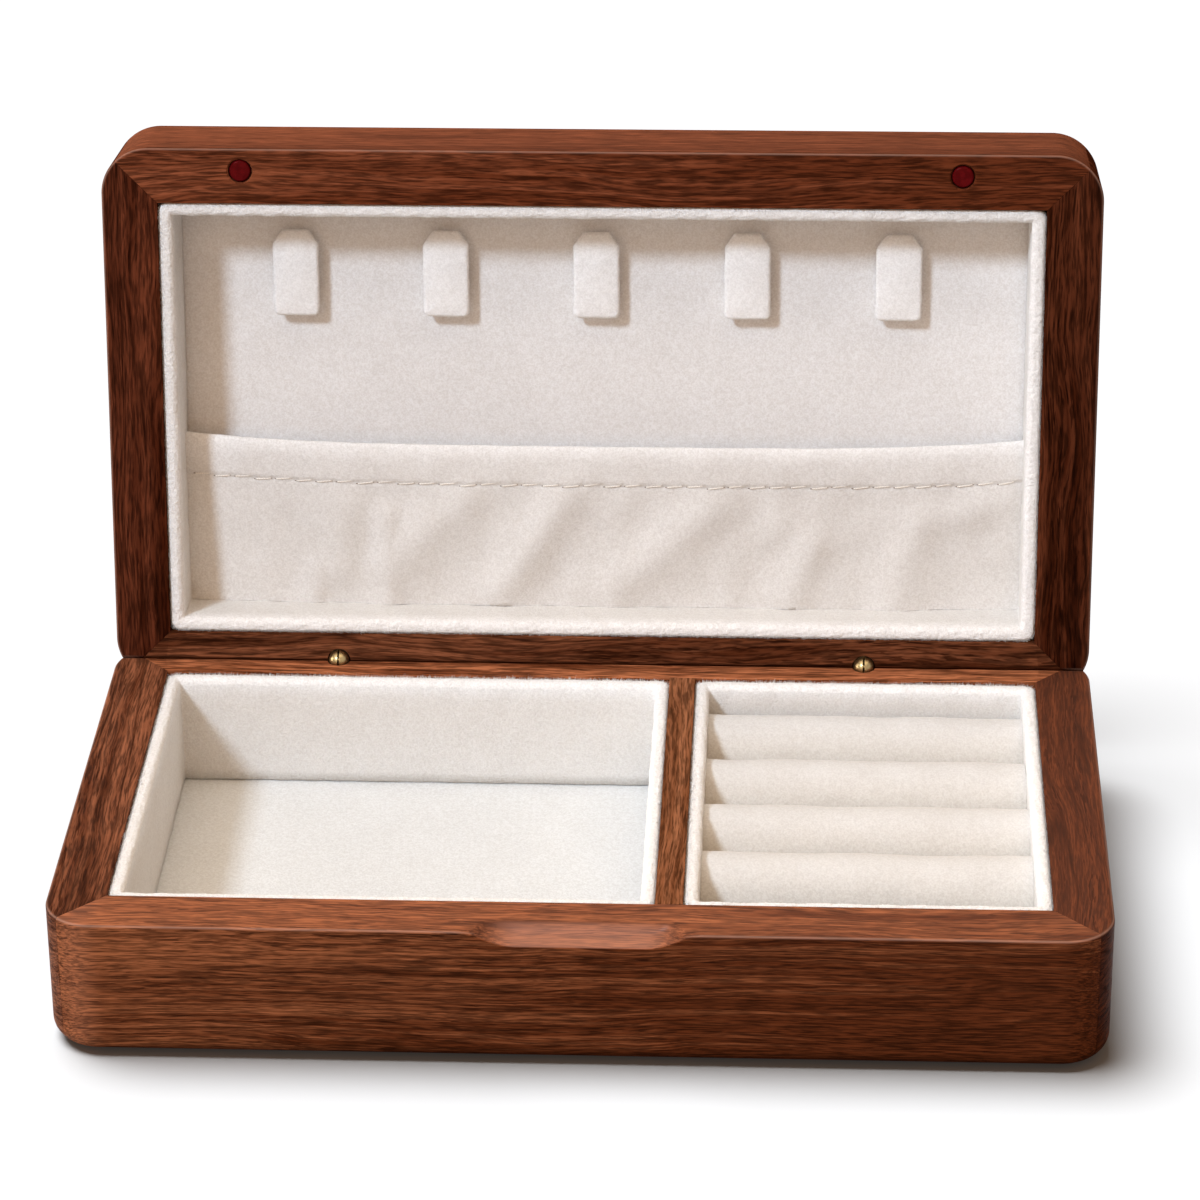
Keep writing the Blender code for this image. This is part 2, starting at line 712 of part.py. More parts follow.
def build_hinges(brass, lid):
    """Build two barrel hinges: a barrel in each back rail, half lugs side by side, and a pin."""
    pins = make_cutter("cut_hinge_pin_holes", pin_hole_cutter(hinge_places()))
    pins.location = (0.0, AXIS_Y, AXIS_Z)
    base_lugs = make_cutter("cut_base_lugs", lug_cutter(hinge_places(), 1.0, 1.0))
    base_lugs.location = (0.0, AXIS_Y, AXIS_Z)
    lid_lugs = make_cutter("cut_lid_lugs", lug_cutter(hinge_places(), -1.0, -1.0), lid)
    for name, place in zip(("left", "right"), hinge_places()):
        low = make_piece(f"hinge_base_barrel_{name}", hinge_barrel(), brass, smooth=True)
        low.location = (place, AXIS_Y, AXIS_Z)
        cut(low, base_lugs)
        cut(low, pins)
        high = make_piece(f"hinge_lid_barrel_{name}", hinge_barrel(), brass, lid, smooth=True)
        high.location = (place, 0.0, 0.0)
        high.rotation_euler = (math.pi, 0.0, 0.0)
        cut(high, lid_lugs)
        cut(high, pins)
        pin = make_piece(f"hinge_pin_{name}", hinge_pin(), brass, smooth=True)
        pin.location = (place, AXIS_Y, AXIS_Z)


def build_lid_frame(walnut, lid):
    """Build the four lid rails, with the bevel, the hinge bores and the magnet bores."""
    rails = {}
    for side in SIDES:
        shape = rail(side, lid_profile(), LID_CENTRE_Y)
        rails[side] = make_piece(f"lid_{side}_rail", shape, walnut, lid, smooth=True)
    bevel = make_cutter("cut_lid_back_bevel", back_bevel(1.0), lid)
    for side in ("left", "right", "back"):
        cut(rails[side], bevel)
    bore = BARREL_RADIUS + BARREL_CLEARANCE
    depth = BARREL_LENGTH + PIECE_GAP
    hinge_bores = paired(hinge_places(), [(bore, -CUT_OVERRUN), (bore, depth)])
    cut(rails["back"], make_cutter("cut_lid_hinge_bores", hinge_bores, lid))
    bore = MAGNET_RADIUS + MAGNET_CLEARANCE
    depth = AXIS_TO_FACE + MAGNET_SINK + MAGNET_THICKNESS + PIECE_GAP
    magnet_bores = make_cutter(
        "cut_lid_magnet_bores", paired(magnet_places(), [(bore, -CUT_OVERRUN), (bore, depth)]), lid)
    magnet_bores.location = (0.0, lid_magnet_y(), 0.0)
    cut(rails["front"], magnet_bores)


def lid_magnet_y():
    """Return the place of the lid's magnets in the lid's own frame."""
    return LID_CENTRE_Y - HALF_DEPTH + MAGNET_INSET


def build_lid_magnets(wine_red, lid):
    """Build the two red discs in the lid's front rail."""
    for name, x in zip(("left", "right"), magnet_places()):
        disc = make_piece(f"lid_magnet_{name}", magnet_disc(), wine_red, lid, smooth=True)
        disc.location = (x, lid_magnet_y(), AXIS_TO_FACE + MAGNET_SINK)


def build_lid_top(walnut, pearl, velvet, lid):
    """Build the top panel, the pearl field over it and the velvet backing under it."""
    inset = LID_REBATE_INSET + PIECE_GAP
    top = rounded_slab(inset, TOP_PANEL_LOW, TOP_PANEL_HIGH, LID_CENTRE_Y)
    make_piece("lid_top_panel", top, walnut, lid)
    field = rounded_slab(inset, PEARL_LOW, PEARL_HIGH, LID_CENTRE_Y)
    make_piece("lid_pearl_panel", field, pearl, lid)
    backing = rounded_slab(RAIL_WIDTH + PIECE_GAP, BACKING_LOW, BACKING_HIGH, LID_CENTRE_Y)
    make_piece("lid_backing_pad", backing, velvet, lid)


def build_lid_lining(velvet, lid):
    """Build the four lined walls of the lid's recess."""
    low = (-INNER_HALF_WIDTH + PIECE_GAP, LID_CENTRE_Y - INNER_HALF_DEPTH + PIECE_GAP)
    high = (INNER_HALF_WIDTH - PIECE_GAP, LID_CENTRE_Y + INNER_HALF_DEPTH - PIECE_GAP)
    for side in SIDES:
        wall = lining_wall(side, low, high, AXIS_TO_FACE + RIM_DROP, BACKING_LOW - PIECE_GAP)
        make_piece(f"lid_{side}_wall", wall, velvet, lid, smooth=True)


def build_necklace_hooks(velvet, lid):
    """Build the row of necklace hooks near the lid's front edge."""
    for index in range(HOOK_COUNT):
        hook = make_piece(f"necklace_hook_{index + 1}", necklace_hook(), velvet, lid)
        x = HOOK_ROW_OFFSET + (index - (HOOK_COUNT - 1) / 2) * HOOK_PITCH
        hook.location = (x, HOOK_FOOT_Y, BACKING_LOW)


def build_pocket(velvet, lid):
    """Build the gathered pocket across the lower part of the lid."""
    make_piece("lid_pocket", pocket_sheet(), velvet, lid, smooth=True)


def build_lid_axis():
    """Return the empty on the hinge axis that swings the lid open."""
    axis = bpy.data.objects.new("lid_axis", None)
    bpy.context.scene.collection.objects.link(axis)
    axis.location = (0.0, AXIS_Y, AXIS_Z)
    axis.rotation_euler = (-OPENING_ANGLE, 0.0, 0.0)
    return axis


def main():
    """Build the whole box with its lid open."""
    clear_scene()
    walnut = finish("walnut", (0.20, 0.075, 0.035), 0.42)
    ply = finish("birch_ply", (0.55, 0.38, 0.22), 0.6)
    felt = finish("brown_felt", (0.05, 0.032, 0.024), 1.0)
    velvet = finish("cream_velvet", (0.80, 0.75, 0.69), 0.95)
    brass = finish("brass", (0.62, 0.44, 0.20), 0.28, 1.0)
    steel = finish("nickel", (0.60, 0.60, 0.62), 0.3, 1.0)
    wine_red = finish("wine_red_enamel", (0.095, 0.006, 0.010), 0.22)
    pearl = finish("mother_of_pearl", (0.82, 0.80, 0.78), 0.18)
    lid = build_lid_axis()
    build_base_frame(walnut)
    build_base_magnets(steel)
    build_base_bottom(ply, felt)
    build_divider(walnut)
    build_tray("left_tray", -INNER_HALF_WIDTH, DIVIDER_LEFT, velvet, "floor_pad")
    build_tray("ring_tray", DIVIDER_RIGHT, INNER_HALF_WIDTH, velvet, "floor_board")
    build_ring_rolls(velvet)
    build_hinges(brass, lid)
    build_lid_frame(walnut, lid)
    build_lid_magnets(wine_red, lid)
    build_lid_top(walnut, pearl, velvet, lid)
    build_lid_lining(velvet, lid)
    build_necklace_hooks(velvet, lid)
    build_pocket(velvet, lid)


main()
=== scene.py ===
"""A walnut jewellery box with its lid open, dressed in fine wood, velvet, brass and pearl.

Each sub-assembly is a class that works its surfaces out with numpy in its own frame. The base's
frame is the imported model's. The lid's frame is that of the closed lid around its hinge axis, and
its Stand leans it back. All lengths are in metres, and the patterns of the finishes in millimetres.
"""

import json
import logging
import math
from dataclasses import dataclass, field, replace
from enum import Enum
from functools import cached_property

import bmesh
import bpy
import numpy as np
from mathutils import Euler, Matrix, Vector

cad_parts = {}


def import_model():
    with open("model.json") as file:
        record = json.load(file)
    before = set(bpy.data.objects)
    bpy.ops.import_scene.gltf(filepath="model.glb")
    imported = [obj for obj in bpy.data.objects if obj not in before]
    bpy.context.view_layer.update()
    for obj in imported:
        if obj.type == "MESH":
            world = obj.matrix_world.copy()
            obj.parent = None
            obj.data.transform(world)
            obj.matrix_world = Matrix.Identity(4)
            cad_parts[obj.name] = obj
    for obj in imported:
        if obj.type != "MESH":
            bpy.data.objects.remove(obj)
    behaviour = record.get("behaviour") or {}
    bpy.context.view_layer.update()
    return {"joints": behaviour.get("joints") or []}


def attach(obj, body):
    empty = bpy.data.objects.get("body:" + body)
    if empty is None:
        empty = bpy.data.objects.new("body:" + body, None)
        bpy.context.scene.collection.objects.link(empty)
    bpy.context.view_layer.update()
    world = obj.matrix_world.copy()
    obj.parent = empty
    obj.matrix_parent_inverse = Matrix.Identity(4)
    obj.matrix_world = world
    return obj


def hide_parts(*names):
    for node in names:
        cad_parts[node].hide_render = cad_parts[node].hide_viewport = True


LOG = logging.getLogger("jewellery_box")
MERGE_DISTANCE = 0.0000002
MILLIMETRES = 1000.0
QUARTER_TURN = math.pi / 2
WORDS = ("left", "right")

Pair = tuple[float, float]
Triple = tuple[float, float, float]
Socket = bpy.types.NodeSocket
Piece = bpy.types.Object


class Side(Enum):
    """A side of the box, with the direction that it faces, in degrees from +X."""

    FRONT = 270.0
    RIGHT = 0.0
    BACK = 90.0
    LEFT = 180.0

    @property
    def angle(self) -> float:
        """Return the direction in radians."""
        return math.radians(self.value)

    @property
    def word(self) -> str:
        """Return the side's name as the nodes spell it."""
        return self.name.lower()

    @property
    def along_y(self) -> bool:
        """Return whether this side's rail runs along Y."""
        return self in (Side.LEFT, Side.RIGHT)


@dataclass(frozen=True)
class Stand:
    """Where a sub-assembly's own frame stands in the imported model: a lean about X, then a move."""

    pivot: Triple = (0.0, 0.0, 0.0)
    lean: float = 0.0

    def matrix(self) -> Matrix:
        """Return the transform from the own frame to the model's."""
        return Matrix.Translation(Vector(self.pivot)) @ Matrix.Rotation(-self.lean, 4, "X")


@dataclass
class Shape:
    """A mesh in the making: its points and the corner numbers of its faces."""

    points: np.ndarray
    faces: list[list[int]]

    def moved(self, step: Triple) -> "Shape":
        """Return the shape moved by a step."""
        return Shape(self.points + np.array(step), self.faces)

    def placed(self, stand: Stand) -> "Shape":
        """Return the shape moved from its own frame to the model's."""
        matrix = np.array(stand.matrix())
        return Shape(self.points @ matrix[:3, :3].T + matrix[:3, 3], self.faces)

    @staticmethod
    def joined(shapes: list["Shape"]) -> "Shape":
        """Put several shapes side by side into one.

        Args:
            shapes: The shapes, which stay separate bodies.

        Returns:
            One shape that holds them all.
        """
        faces, start = [], 0
        for shape in shapes:
            faces += [[start + corner for corner in face] for face in shape.faces]
            start += len(shape.points)
        return Shape(np.concatenate([shape.points for shape in shapes]), faces)


def ray(angles: np.ndarray | float) -> np.ndarray:
    """Return the unit vectors, of two numbers each, that point at angles from +X."""
    return np.stack([np.cos(angles), np.sin(angles)], -1)


def unit(vectors: np.ndarray) -> np.ndarray:
    """Return the vectors on the last axis with a length of one."""
    return vectors / np.maximum(np.linalg.norm(vectors, axis=-1, keepdims=True), MERGE_DISTANCE ** 2)


def skin(rings: np.ndarray, looped: bool = False) -> Shape:
    """Skin closed rings of points with quads.

    Formula: point (s, p) joins (s, p + 1), (s + 1, p + 1) and (s + 1, p), and p wraps round.

    Args:
        rings: Points as stations by ring points by three.
        looped: Whether the last station joins the first, instead of a cap on each end.

    Returns:
        The closed skin.
    """
    index = np.arange(rings[..., 0].size).reshape(rings.shape[:2])
    near = index if looped else index[:-1]
    far = np.roll(index, -1, 0) if looped else index[1:]
    quads = np.stack([near, np.roll(near, -1, 1), np.roll(far, -1, 1), far], -1)
    faces = quads.reshape(-1, 4).tolist()
    if not looped:
        faces += [index[0][::-1].tolist(), index[-1].tolist()]
    return Shape(rings.reshape(-1, 3), faces)


def ripple(points: np.ndarray, seed: int, wavelength: float, height: float) -> np.ndarray:
    """Work out gentle unevenness over a surface.

    Formula: height / sqrt(n) times the sum of n sines of k . p + phase, where the seeded
    wave vectors k point anywhere and are about 2 pi / wavelength long.

    Args:
        points: Points, with x, y, z on the last axis.
        seed: Seed of the draws.
        wavelength: Typical distance between two swells.
        height: Typical height of a swell.

    Returns:
        One height for each point.
    """
    draw = np.random.default_rng(seed)
    count = 14
    shortest_share, longest_share = 0.6, 1.5
    waves = unit(draw.normal(size=(count, 3))) * 2 * math.pi / wavelength
    waves *= draw.uniform(shortest_share, longest_share, (count, 1))
    phases = draw.uniform(0, 2 * math.pi, count)
    return height * np.sin(points @ waves.T + phases).sum(-1) / math.sqrt(count)


def ring_normals(rings: np.ndarray) -> np.ndarray:
    """Return outward unit normals of a skin of closed rings.

    Formula: the cross product of the central differences along the path and round the ring,
    turned to point away from each ring's middle.

    Args:
        rings: Points as stations by ring points by three.

    Returns:
        A unit vector for each point.
    """
    around = np.roll(rings, -1, 1) - np.roll(rings, 1, 1)
    normals = unit(np.cross(around, np.gradient(rings, axis=0)))
    away = rings - rings.mean(1, keepdims=True)
    sign = np.sign((normals * away).sum(-1).sum(1))
    return normals * sign[:, None, None]


def rounded(corners: list[Triple], steps: int) -> np.ndarray:
    """Return a closed outline whose corners are rounded.

    Formula: a corner of radius r starts r / tan(half the inner angle) before its point, and an
    arc of that radius leads to the same distance after it.

    Args:
        corners: Each corner as two coordinates and its radius, in order.
        steps: Number of steps of each arc.

    Returns:
        The outline, as points by two.
    """
    table = np.array(corners, float)
    spots, radii = table[:, :2], table[:, 2:]
    before = unit(np.roll(spots, 1, 0) - spots)
    after = unit(np.roll(spots, -1, 0) - spots)
    half = np.arccos(np.clip((before * after).sum(1, keepdims=True), -1, 1)) / 2
    centres = spots + unit(before + after) * radii / np.sin(half)
    start = spots + before * radii / np.tan(half) - centres
    end = spots + after * radii / np.tan(half) - centres
    share = np.linspace(0, 1, steps + 1)[None, :, None]
    swing = (math.pi - 2 * half)[:, None]
    blend = np.sin((1 - share) * swing) * start[:, None] + np.sin(share * swing) * end[:, None]
    return (centres[:, None] + blend / np.sin(swing)).reshape(-1, 2)


def outline_normals(outline: np.ndarray) -> np.ndarray:
    """Return unit normals of a closed outline, which point away from its filled side.

    Formula: the central difference turned a quarter, with its sign from the signed area.

    Args:
        outline: Points as points by two.

    Returns:
        A unit vector for each point.
    """
    following = np.roll(outline, -1, 0)
    tangent = following - np.roll(outline, 1, 0)
    area = (outline[:, 0] * following[:, 1] - outline[:, 1] * following[:, 0]).sum()
    return unit(np.stack([tangent[:, 1], -tangent[:, 0]], 1)) * math.copysign(1.0, area)


def turned(profile: list[Pair], segments: int,
           places: list[Triple] | None = None) -> Shape:
    """Return a solid turned around Z, once at each place.

    Formula: the point (r, z) of the profile goes to (r cos a, r sin a, z).

    Args:
        profile: Radius and height of each ring, from one end to the other.
        segments: Number of points round each ring.
        places: Where the solids stand, or nothing for one on the origin.

    Returns:
        The closed solids in one shape.
    """
    angles = np.linspace(0, 2 * math.pi, segments, endpoint=False)
    radius, height = np.array(profile, float).T[:, :, None]
    rings = np.stack([radius * np.cos(angles), radius * np.sin(angles), np.repeat(height, segments, 1)], -1)
    return Shape.joined([skin(rings).moved(place) for place in places or [(0.0, 0.0, 0.0)]])


def soft_slab(outline: np.ndarray, low: float, high: float, soft: float, steps: int = 4) -> Shape:
    """Return a slab whose two faces roll over at their edges.

    Formula: the rolled edge at angle a is drawn in by soft (1 - cos a) and raised by soft sin a.

    Args:
        outline: Plan points, as points by two.
        low: Height of one face.
        high: Height of the other face.
        soft: Radius of the rolled edge.
        steps: Number of steps of the roll.

    Returns:
        The closed slab.
    """
    angles = np.linspace(QUARTER_TURN, 0, steps + 1)
    inset = soft * (1 - np.cos(angles))
    rise = soft * np.sin(angles)
    insets = np.concatenate([[2 * soft], inset, inset[::-1], [2 * soft]])
    heights = np.concatenate([[low], low + soft - rise, (high - soft + rise)[::-1], [high]])
    plan = outline[None] - outline_normals(outline)[None] * insets[:, None, None]
    levels = np.repeat(heights[:, None, None], len(outline), 1)
    return skin(np.concatenate([plan, levels], -1))


def dense(outline: np.ndarray, step: float) -> np.ndarray:
    """Add points along the long sides of a closed outline.

    Formula: each side is cut into equal parts no longer than the step.

    Args:
        outline: Points as points by two.
        step: The longest side to leave.

    Returns:
        The denser outline.
    """
    parts = []
    for near, far in zip(outline, np.roll(outline, -1, 0)):
        count = max(math.ceil(np.linalg.norm(far - near) / step), 1)
        parts.append(near + (far - near) * np.arange(count)[:, None] / count)
    return np.concatenate(parts)


def cushion(outline: np.ndarray, low: float, high: float, soft: float, crown: float) -> Shape:
    """Return a padded tab: rolled edges, a face that swells towards its spine, and a flat back.

    Formula: the face's points go from the rolled edge to the spine, a line up the middle that
    stops half a width short of both ends, and rise by crown (1 - (1 - t)^2) on the way t.

    Args:
        outline: Plan points, the same on both sides of X zero.
        low: Height of the swollen face's edge.
        high: Height of the back.
        soft: Radius of the rolled edge.
        crown: How far the face swells beyond the edge.

    Returns:
        The closed tab.
    """
    roll_points, face_rings = 8, 8
    half = np.abs(outline[:, 0]).max()
    reach = np.clip(outline[:, 1], outline[:, 1].min() + half, outline[:, 1].max() - half)
    spine = np.stack([0 * reach, reach], 1)
    turn = np.linspace(0, QUARTER_TURN, roll_points)
    insets = soft * np.concatenate([1 - np.sin(turn), 1 - np.cos(turn)])[:, None, None]
    sides = outline[None] - outline_normals(outline)[None] * insets
    side_levels = np.concatenate([low + soft * (1 - np.cos(turn)), high - soft * (1 - np.sin(turn))])
    way = np.linspace(1, 0, face_rings + 1)[:-1]
    face = sides[0] + (spine - sides[0])[None] * way[:, None, None]
    back = (sides[-1] + spine) / 2
    plans = np.concatenate([face, sides, back[None]])
    levels = np.concatenate([low - crown * (1 - (1 - way) ** 2), side_levels, [high]])
    shape = skin(np.concatenate([plans, np.repeat(levels[:, None, None], len(outline), 1)], -1))
    del shape.faces[-2]
    return shape


def spikes(roots: np.ndarray, tips: np.ndarray, width: np.ndarray) -> Shape:
    """Return slender three-sided spikes, such as fibres of pile.

    Formula: a root triangle of the given width stands across the line from root to tip.

    Args:
        roots: Middle of each root, as spikes by three.
        tips: Tip of each spike.
        width: Width of each root.

    Returns:
        All the closed spikes in one shape.
    """
    along = unit(tips - roots)
    steep_share = 0.8
    helper = np.where(np.abs(along[:, :1]) < steep_share, [[1.0, 0.0, 0.0]], [[0.0, 1.0, 0.0]])
    first = unit(np.cross(along, helper))
    second = np.cross(along, first)
    angles = np.arange(3)[None, :, None] * 2 * math.pi / 3
    ring = np.cos(angles) * first[:, None] + np.sin(angles) * second[:, None]
    corners = roots[:, None] + ring * width[:, None, None] / 2
    points = np.concatenate([corners, tips[:, None]], 1).reshape(-1, 3)
    pattern = np.array([[0, 2, 1], [0, 1, 3], [1, 2, 3], [2, 0, 3]])
    start = 4 * np.arange(len(roots))[:, None, None]
    return Shape(points, (start + pattern).reshape(-1, 3).tolist())


def closed_sheet(front: np.ndarray, back: np.ndarray) -> Shape:
    """Close two grids of the same layout into one solid.

    Formula: the quads of both grids, and a strip of quads along their four edges.

    Args:
        front: Points as rows by columns by three.
        back: The points behind them.

    Returns:
        The closed solid.
    """
    behind = front[..., 0].size
    index = np.arange(behind).reshape(front.shape[:2])
    quads = np.stack([index[:-1, :-1], index[1:, :-1], index[1:, 1:], index[:-1, 1:]], -1).reshape(-1, 4)
    loop = np.concatenate([index[0, :-1], index[:-1, -1], index[-1, :0:-1], index[:0:-1, 0]])
    follow = np.roll(loop, -1)
    strip = np.stack([loop, follow, follow + behind, loop + behind], -1)
    faces = np.concatenate([quads, quads[:, ::-1] + behind, strip]).tolist()
    return Shape(np.concatenate([front.reshape(-1, 3), back.reshape(-1, 3)]), faces)


@dataclass(frozen=True)
class Noise:
    """Noise on a stretched vector: its turns in a millimetre, its detail, and the range in use."""

    turns: Triple
    detail: float = 2.0
    roughness: float = 0.5
    low: float = 0.3
    high: float = 0.7


class Graph:
    """A node tree with short calls for the nodes that the finishes use."""

    def __init__(self, tree: bpy.types.NodeTree) -> None:
        """Start on a tree."""
        self.tree = tree

    def feed(self, node: bpy.types.Node, inputs: dict[str | int, object]) -> None:
        """Put a link or a plain value into inputs of a node.

        Args:
            node: The node.
            inputs: A socket or a value for each input's name or number.
        """
        for key, value in inputs.items():
            socket = node.inputs[key]
            if isinstance(value, Socket):
                self.tree.links.new(value, socket)
            elif isinstance(value, tuple) and len(value) == 3 and socket.type == "RGBA":
                socket.default_value = (*value, 1.0)
            else:
                socket.default_value = value

    def node(self, kind: str, inputs: dict[str | int, object], **settings: object) -> bpy.types.Node:
        """Add a node.

        Args:
            kind: The node's type, without the ShaderNode that all share.
            inputs: What goes into its inputs.
            **settings: Attributes to set on it first.

        Returns:
            The new node.
        """
        made = self.tree.nodes.new("ShaderNode" + kind)
        for name, value in settings.items():
            setattr(made, name, value)
        self.feed(made, inputs)
        return made

    def sums(self, operation: str, first: object, second: object = 0.0, third: object = 0.0,
             clamp: bool = False) -> Socket:
        """Add a Math node.

        Args:
            operation: What it does.
            first: Its first value.
            second: Its second value.
            third: Its third value.
            clamp: Whether the result is kept between 0 and 1.

        Returns:
            The result.
        """
        inputs = {0: first, 1: second, 2: third}
        return self.node("Math", inputs, operation=operation, use_clamp=clamp).outputs[0]

    def times(self, first: object, second: object) -> Socket:
        """Return the product of two values."""
        return self.sums("MULTIPLY", first, second)

    def vectors(self, operation: str, first: object, second: object = (0.0, 0.0, 0.0)) -> Socket:
        """Add a Vector Math node and return its vector, or its value where it makes one."""
        outputs = self.node("VectorMath", {0: first, 1: second}, operation=operation).outputs
        return outputs["Value" if operation in ("DOT_PRODUCT", "LENGTH") else "Vector"]

    def parts(self, vector: object) -> tuple[Socket, Socket, Socket]:
        """Return the X, Y and Z of a vector."""
        return tuple(self.node("SeparateXYZ", {0: vector}).outputs)

    def noise(self, vector: object, noise: Noise) -> Socket:
        """Add noise on a vector that is stretched first.

        Args:
            vector: The place that the noise is read at.
            noise: The noise.

        Returns:
            Its value.
        """
        spot = self.vectors("MULTIPLY", vector, noise.turns)
        inputs = {"Vector": spot, "Scale": 1.0, "Detail": noise.detail, "Roughness": noise.roughness}
        return self.node("TexNoise", inputs).outputs[0]

    def clouds(self, vector: object, noise: Noise, to_low: float = 0.0, to_high: float = 1.0) -> Socket:
        """Add noise, carry its range in use to another one and return that."""
        return self.span(self.noise(vector, noise), noise.low, noise.high, to_low, to_high)

    def span(self, value: object, low: float, high: float, to_low: float = 0.0, to_high: float = 1.0) -> Socket:
        """Carry a value smoothly from one range to another and return it."""
        inputs = {"Value": value, "From Min": low, "From Max": high, "To Min": to_low, "To Max": to_high}
        return self.node("MapRange", inputs, interpolation_type="SMOOTHSTEP").outputs[0]

    def mix(self, factor: object, first: object, second: object, blend: str = "MIX") -> Socket:
        """Mix two colours and return the result."""
        inputs = {"Factor": factor, 6: first, 7: second}
        return self.node("Mix", inputs, data_type="RGBA", blend_type=blend).outputs[2]

    def shaded(self, colour: object, grey: object) -> Socket:
        """Return a colour that is multiplied by a value."""
        shade = self.node("CombineColor", {0: grey, 1: grey, 2: grey})
        return self.mix(1.0, colour, shade.outputs[0], "MULTIPLY")

    def mark(self, name: str) -> Socket:
        """Return the value of a piece's own attribute."""
        return self.node("Attribute", {}, attribute_name=name).outputs["Fac"]

    def bump(self, height: Socket, distance: float, strength: float) -> Socket:
        """Return the normal of a relief of the given depth."""
        return self.node("Bump", {"Height": height, "Distance": distance, "Strength": strength}).outputs[0]

    def seen_directly(self) -> Socket:
        """Return where a ray comes from the camera, or through glass or a reflection."""
        path = self.node("LightPath", {}).outputs
        bounced = self.sums("MAXIMUM", path["Is Glossy Ray"], path["Is Transmission Ray"])
        return self.sums("MAXIMUM", path["Is Camera Ray"], bounced)


class Effect(Graph):
    """A node group that several finishes share."""

    def __init__(self, name: str, inputs: dict[str, str], outputs: dict[str, str]) -> None:
        """Start the group.

        Args:
            name: The group's name.
            inputs: Socket kind for each input's name.
            outputs: Socket kind for each output's name.
        """
        super().__init__(bpy.data.node_groups.new(name, "ShaderNodeTree"))
        for direction, sockets in (("INPUT", inputs), ("OUTPUT", outputs)):
            for socket, kind in sockets.items():
                self.tree.interface.new_socket(socket, in_out=direction, socket_type="NodeSocket" + kind)
        self.given = self.tree.nodes.new("NodeGroupInput").outputs
        self.result = self.tree.nodes.new("NodeGroupOutput")


@dataclass(frozen=True)
class Grain:
    """The grain of walnut along X: bands, streaks, pores and thin growth lines."""

    name: str = "walnut_grain"
    tilt: Triple = (0.45, 0.0, 0.0)
    wave: Noise = Noise((0.011, 0.05, 0.05))
    wave_reach: float = 7.0
    curl: Noise = Noise((0.07, 0.22, 0.22), 1.0)
    curl_reach: float = 0.4
    bands: Noise = Noise((0.008, 0.11, 0.34), 3.0, 0.55, 0.38, 0.62)
    band_weight: float = 0.42
    streaks: Noise = Noise((0.010, 0.24, 1.10), low=0.40, high=0.60)
    streak_weight: float = 0.44
    figure: Noise = Noise((0.10, 0.12, 0.12))
    figure_weight: float = 0.14
    pores: Noise = Noise((0.13, 1.1, 2.9), 2.0, 0.55, 0.55, 0.61)
    pore_weight: float = 0.86
    crowding: tuple[float, ...] = (0.62, 0.36, 0.45, 1.0)
    rings: Noise = Noise((0.0045, 0.05, 0.125), 1.0, 0.4)
    ring_count: float = 6.0
    line_width: float = 0.11
    line_weight: float = 0.82
    faint: Noise = Noise((0.02, 0.3, 0.3), 1.0, low=0.42, high=0.62)
    fibres: Noise = Noise((0.13, 1.1, 3.0), 2.0, 0.66, 0.36, 0.64)
    fibre_shades: Pair = (0.52, 1.48)
    fibre_relief: float = 0.35
    roughness: tuple[float, ...] = (0.3, 0.7, 0.36, 0.46)
    mark_roughness: float = 0.22

    def build(self) -> bpy.types.NodeTree:
        """Build the group, whose vector is in millimetres.

        Formula: the vector is bent by two slow noises, and stretched noises on it are added up to
        a tone between the dark and the light wood. Thresholds of finer noise are the pores, and
        the half steps of a saw tooth of slow noise are the growth lines.

        Returns:
            The group.
        """
        group = Effect(
            self.name,
            {"Vector": "Vector", "Light": "Color", "Dark": "Color", "Pore": "Color", "Drift": "Float"},
            {"Color": "Color", "Roughness": "Float", "Height": "Float"},
        )
        tilt = {"Vector": group.given["Vector"], "Rotation": self.tilt}
        spot = group.node("Mapping", tilt, vector_type="POINT").outputs[0]
        wave = group.times(group.sums("SUBTRACT", group.noise(spot, self.wave), 0.5), self.wave_reach)
        curl = group.times(group.sums("SUBTRACT", group.noise(spot, self.curl), 0.5), self.curl_reach)
        lift = group.sums("ADD", wave, curl)
        flow = group.vectors("ADD", spot, group.node("CombineXYZ", {1: lift, 2: lift}).outputs[0])
        bands = group.noise(flow, self.bands)
        tone = group.times(group.clouds(flow, self.streaks), self.streak_weight)
        band = group.span(bands, self.bands.low, self.bands.high)
        tone = group.sums("MULTIPLY_ADD", band, self.band_weight, tone)
        tone = group.sums("MULTIPLY_ADD", group.clouds(flow, self.figure), self.figure_weight, tone)
        tone = group.sums("ADD", tone, group.given["Drift"], clamp=True)
        wood = group.mix(tone, group.given["Dark"], group.given["Light"])
        pores = group.times(group.clouds(flow, self.pores), group.span(bands, *self.crowding))
        saw = group.sums("FRACT", group.times(group.noise(flow, self.rings), self.ring_count))
        off = group.sums("ABSOLUTE", group.sums("SUBTRACT", saw, 0.5))
        line = group.times(group.span(off, 0.0, self.line_width, 1.0, 0.0), group.clouds(spot, self.faint))
        line = group.times(line, self.line_weight)
        marks = group.sums("MAXIMUM", group.times(pores, self.pore_weight), line)
        wood = group.mix(marks, wood, group.given["Pore"])
        fibres = group.noise(flow, self.fibres)
        shade = group.span(fibres, self.fibres.low, self.fibres.high, *self.fibre_shades)
        smooth = group.span(fibres, *self.roughness)
        group.feed(group.result, {
            "Color": group.shaded(wood, shade),
            "Roughness": group.sums("MULTIPLY_ADD", marks, self.mark_roughness, smooth),
            "Height": group.sums("SUBTRACT", group.times(fibres, self.fibre_relief), pores),
        })
        return group.tree


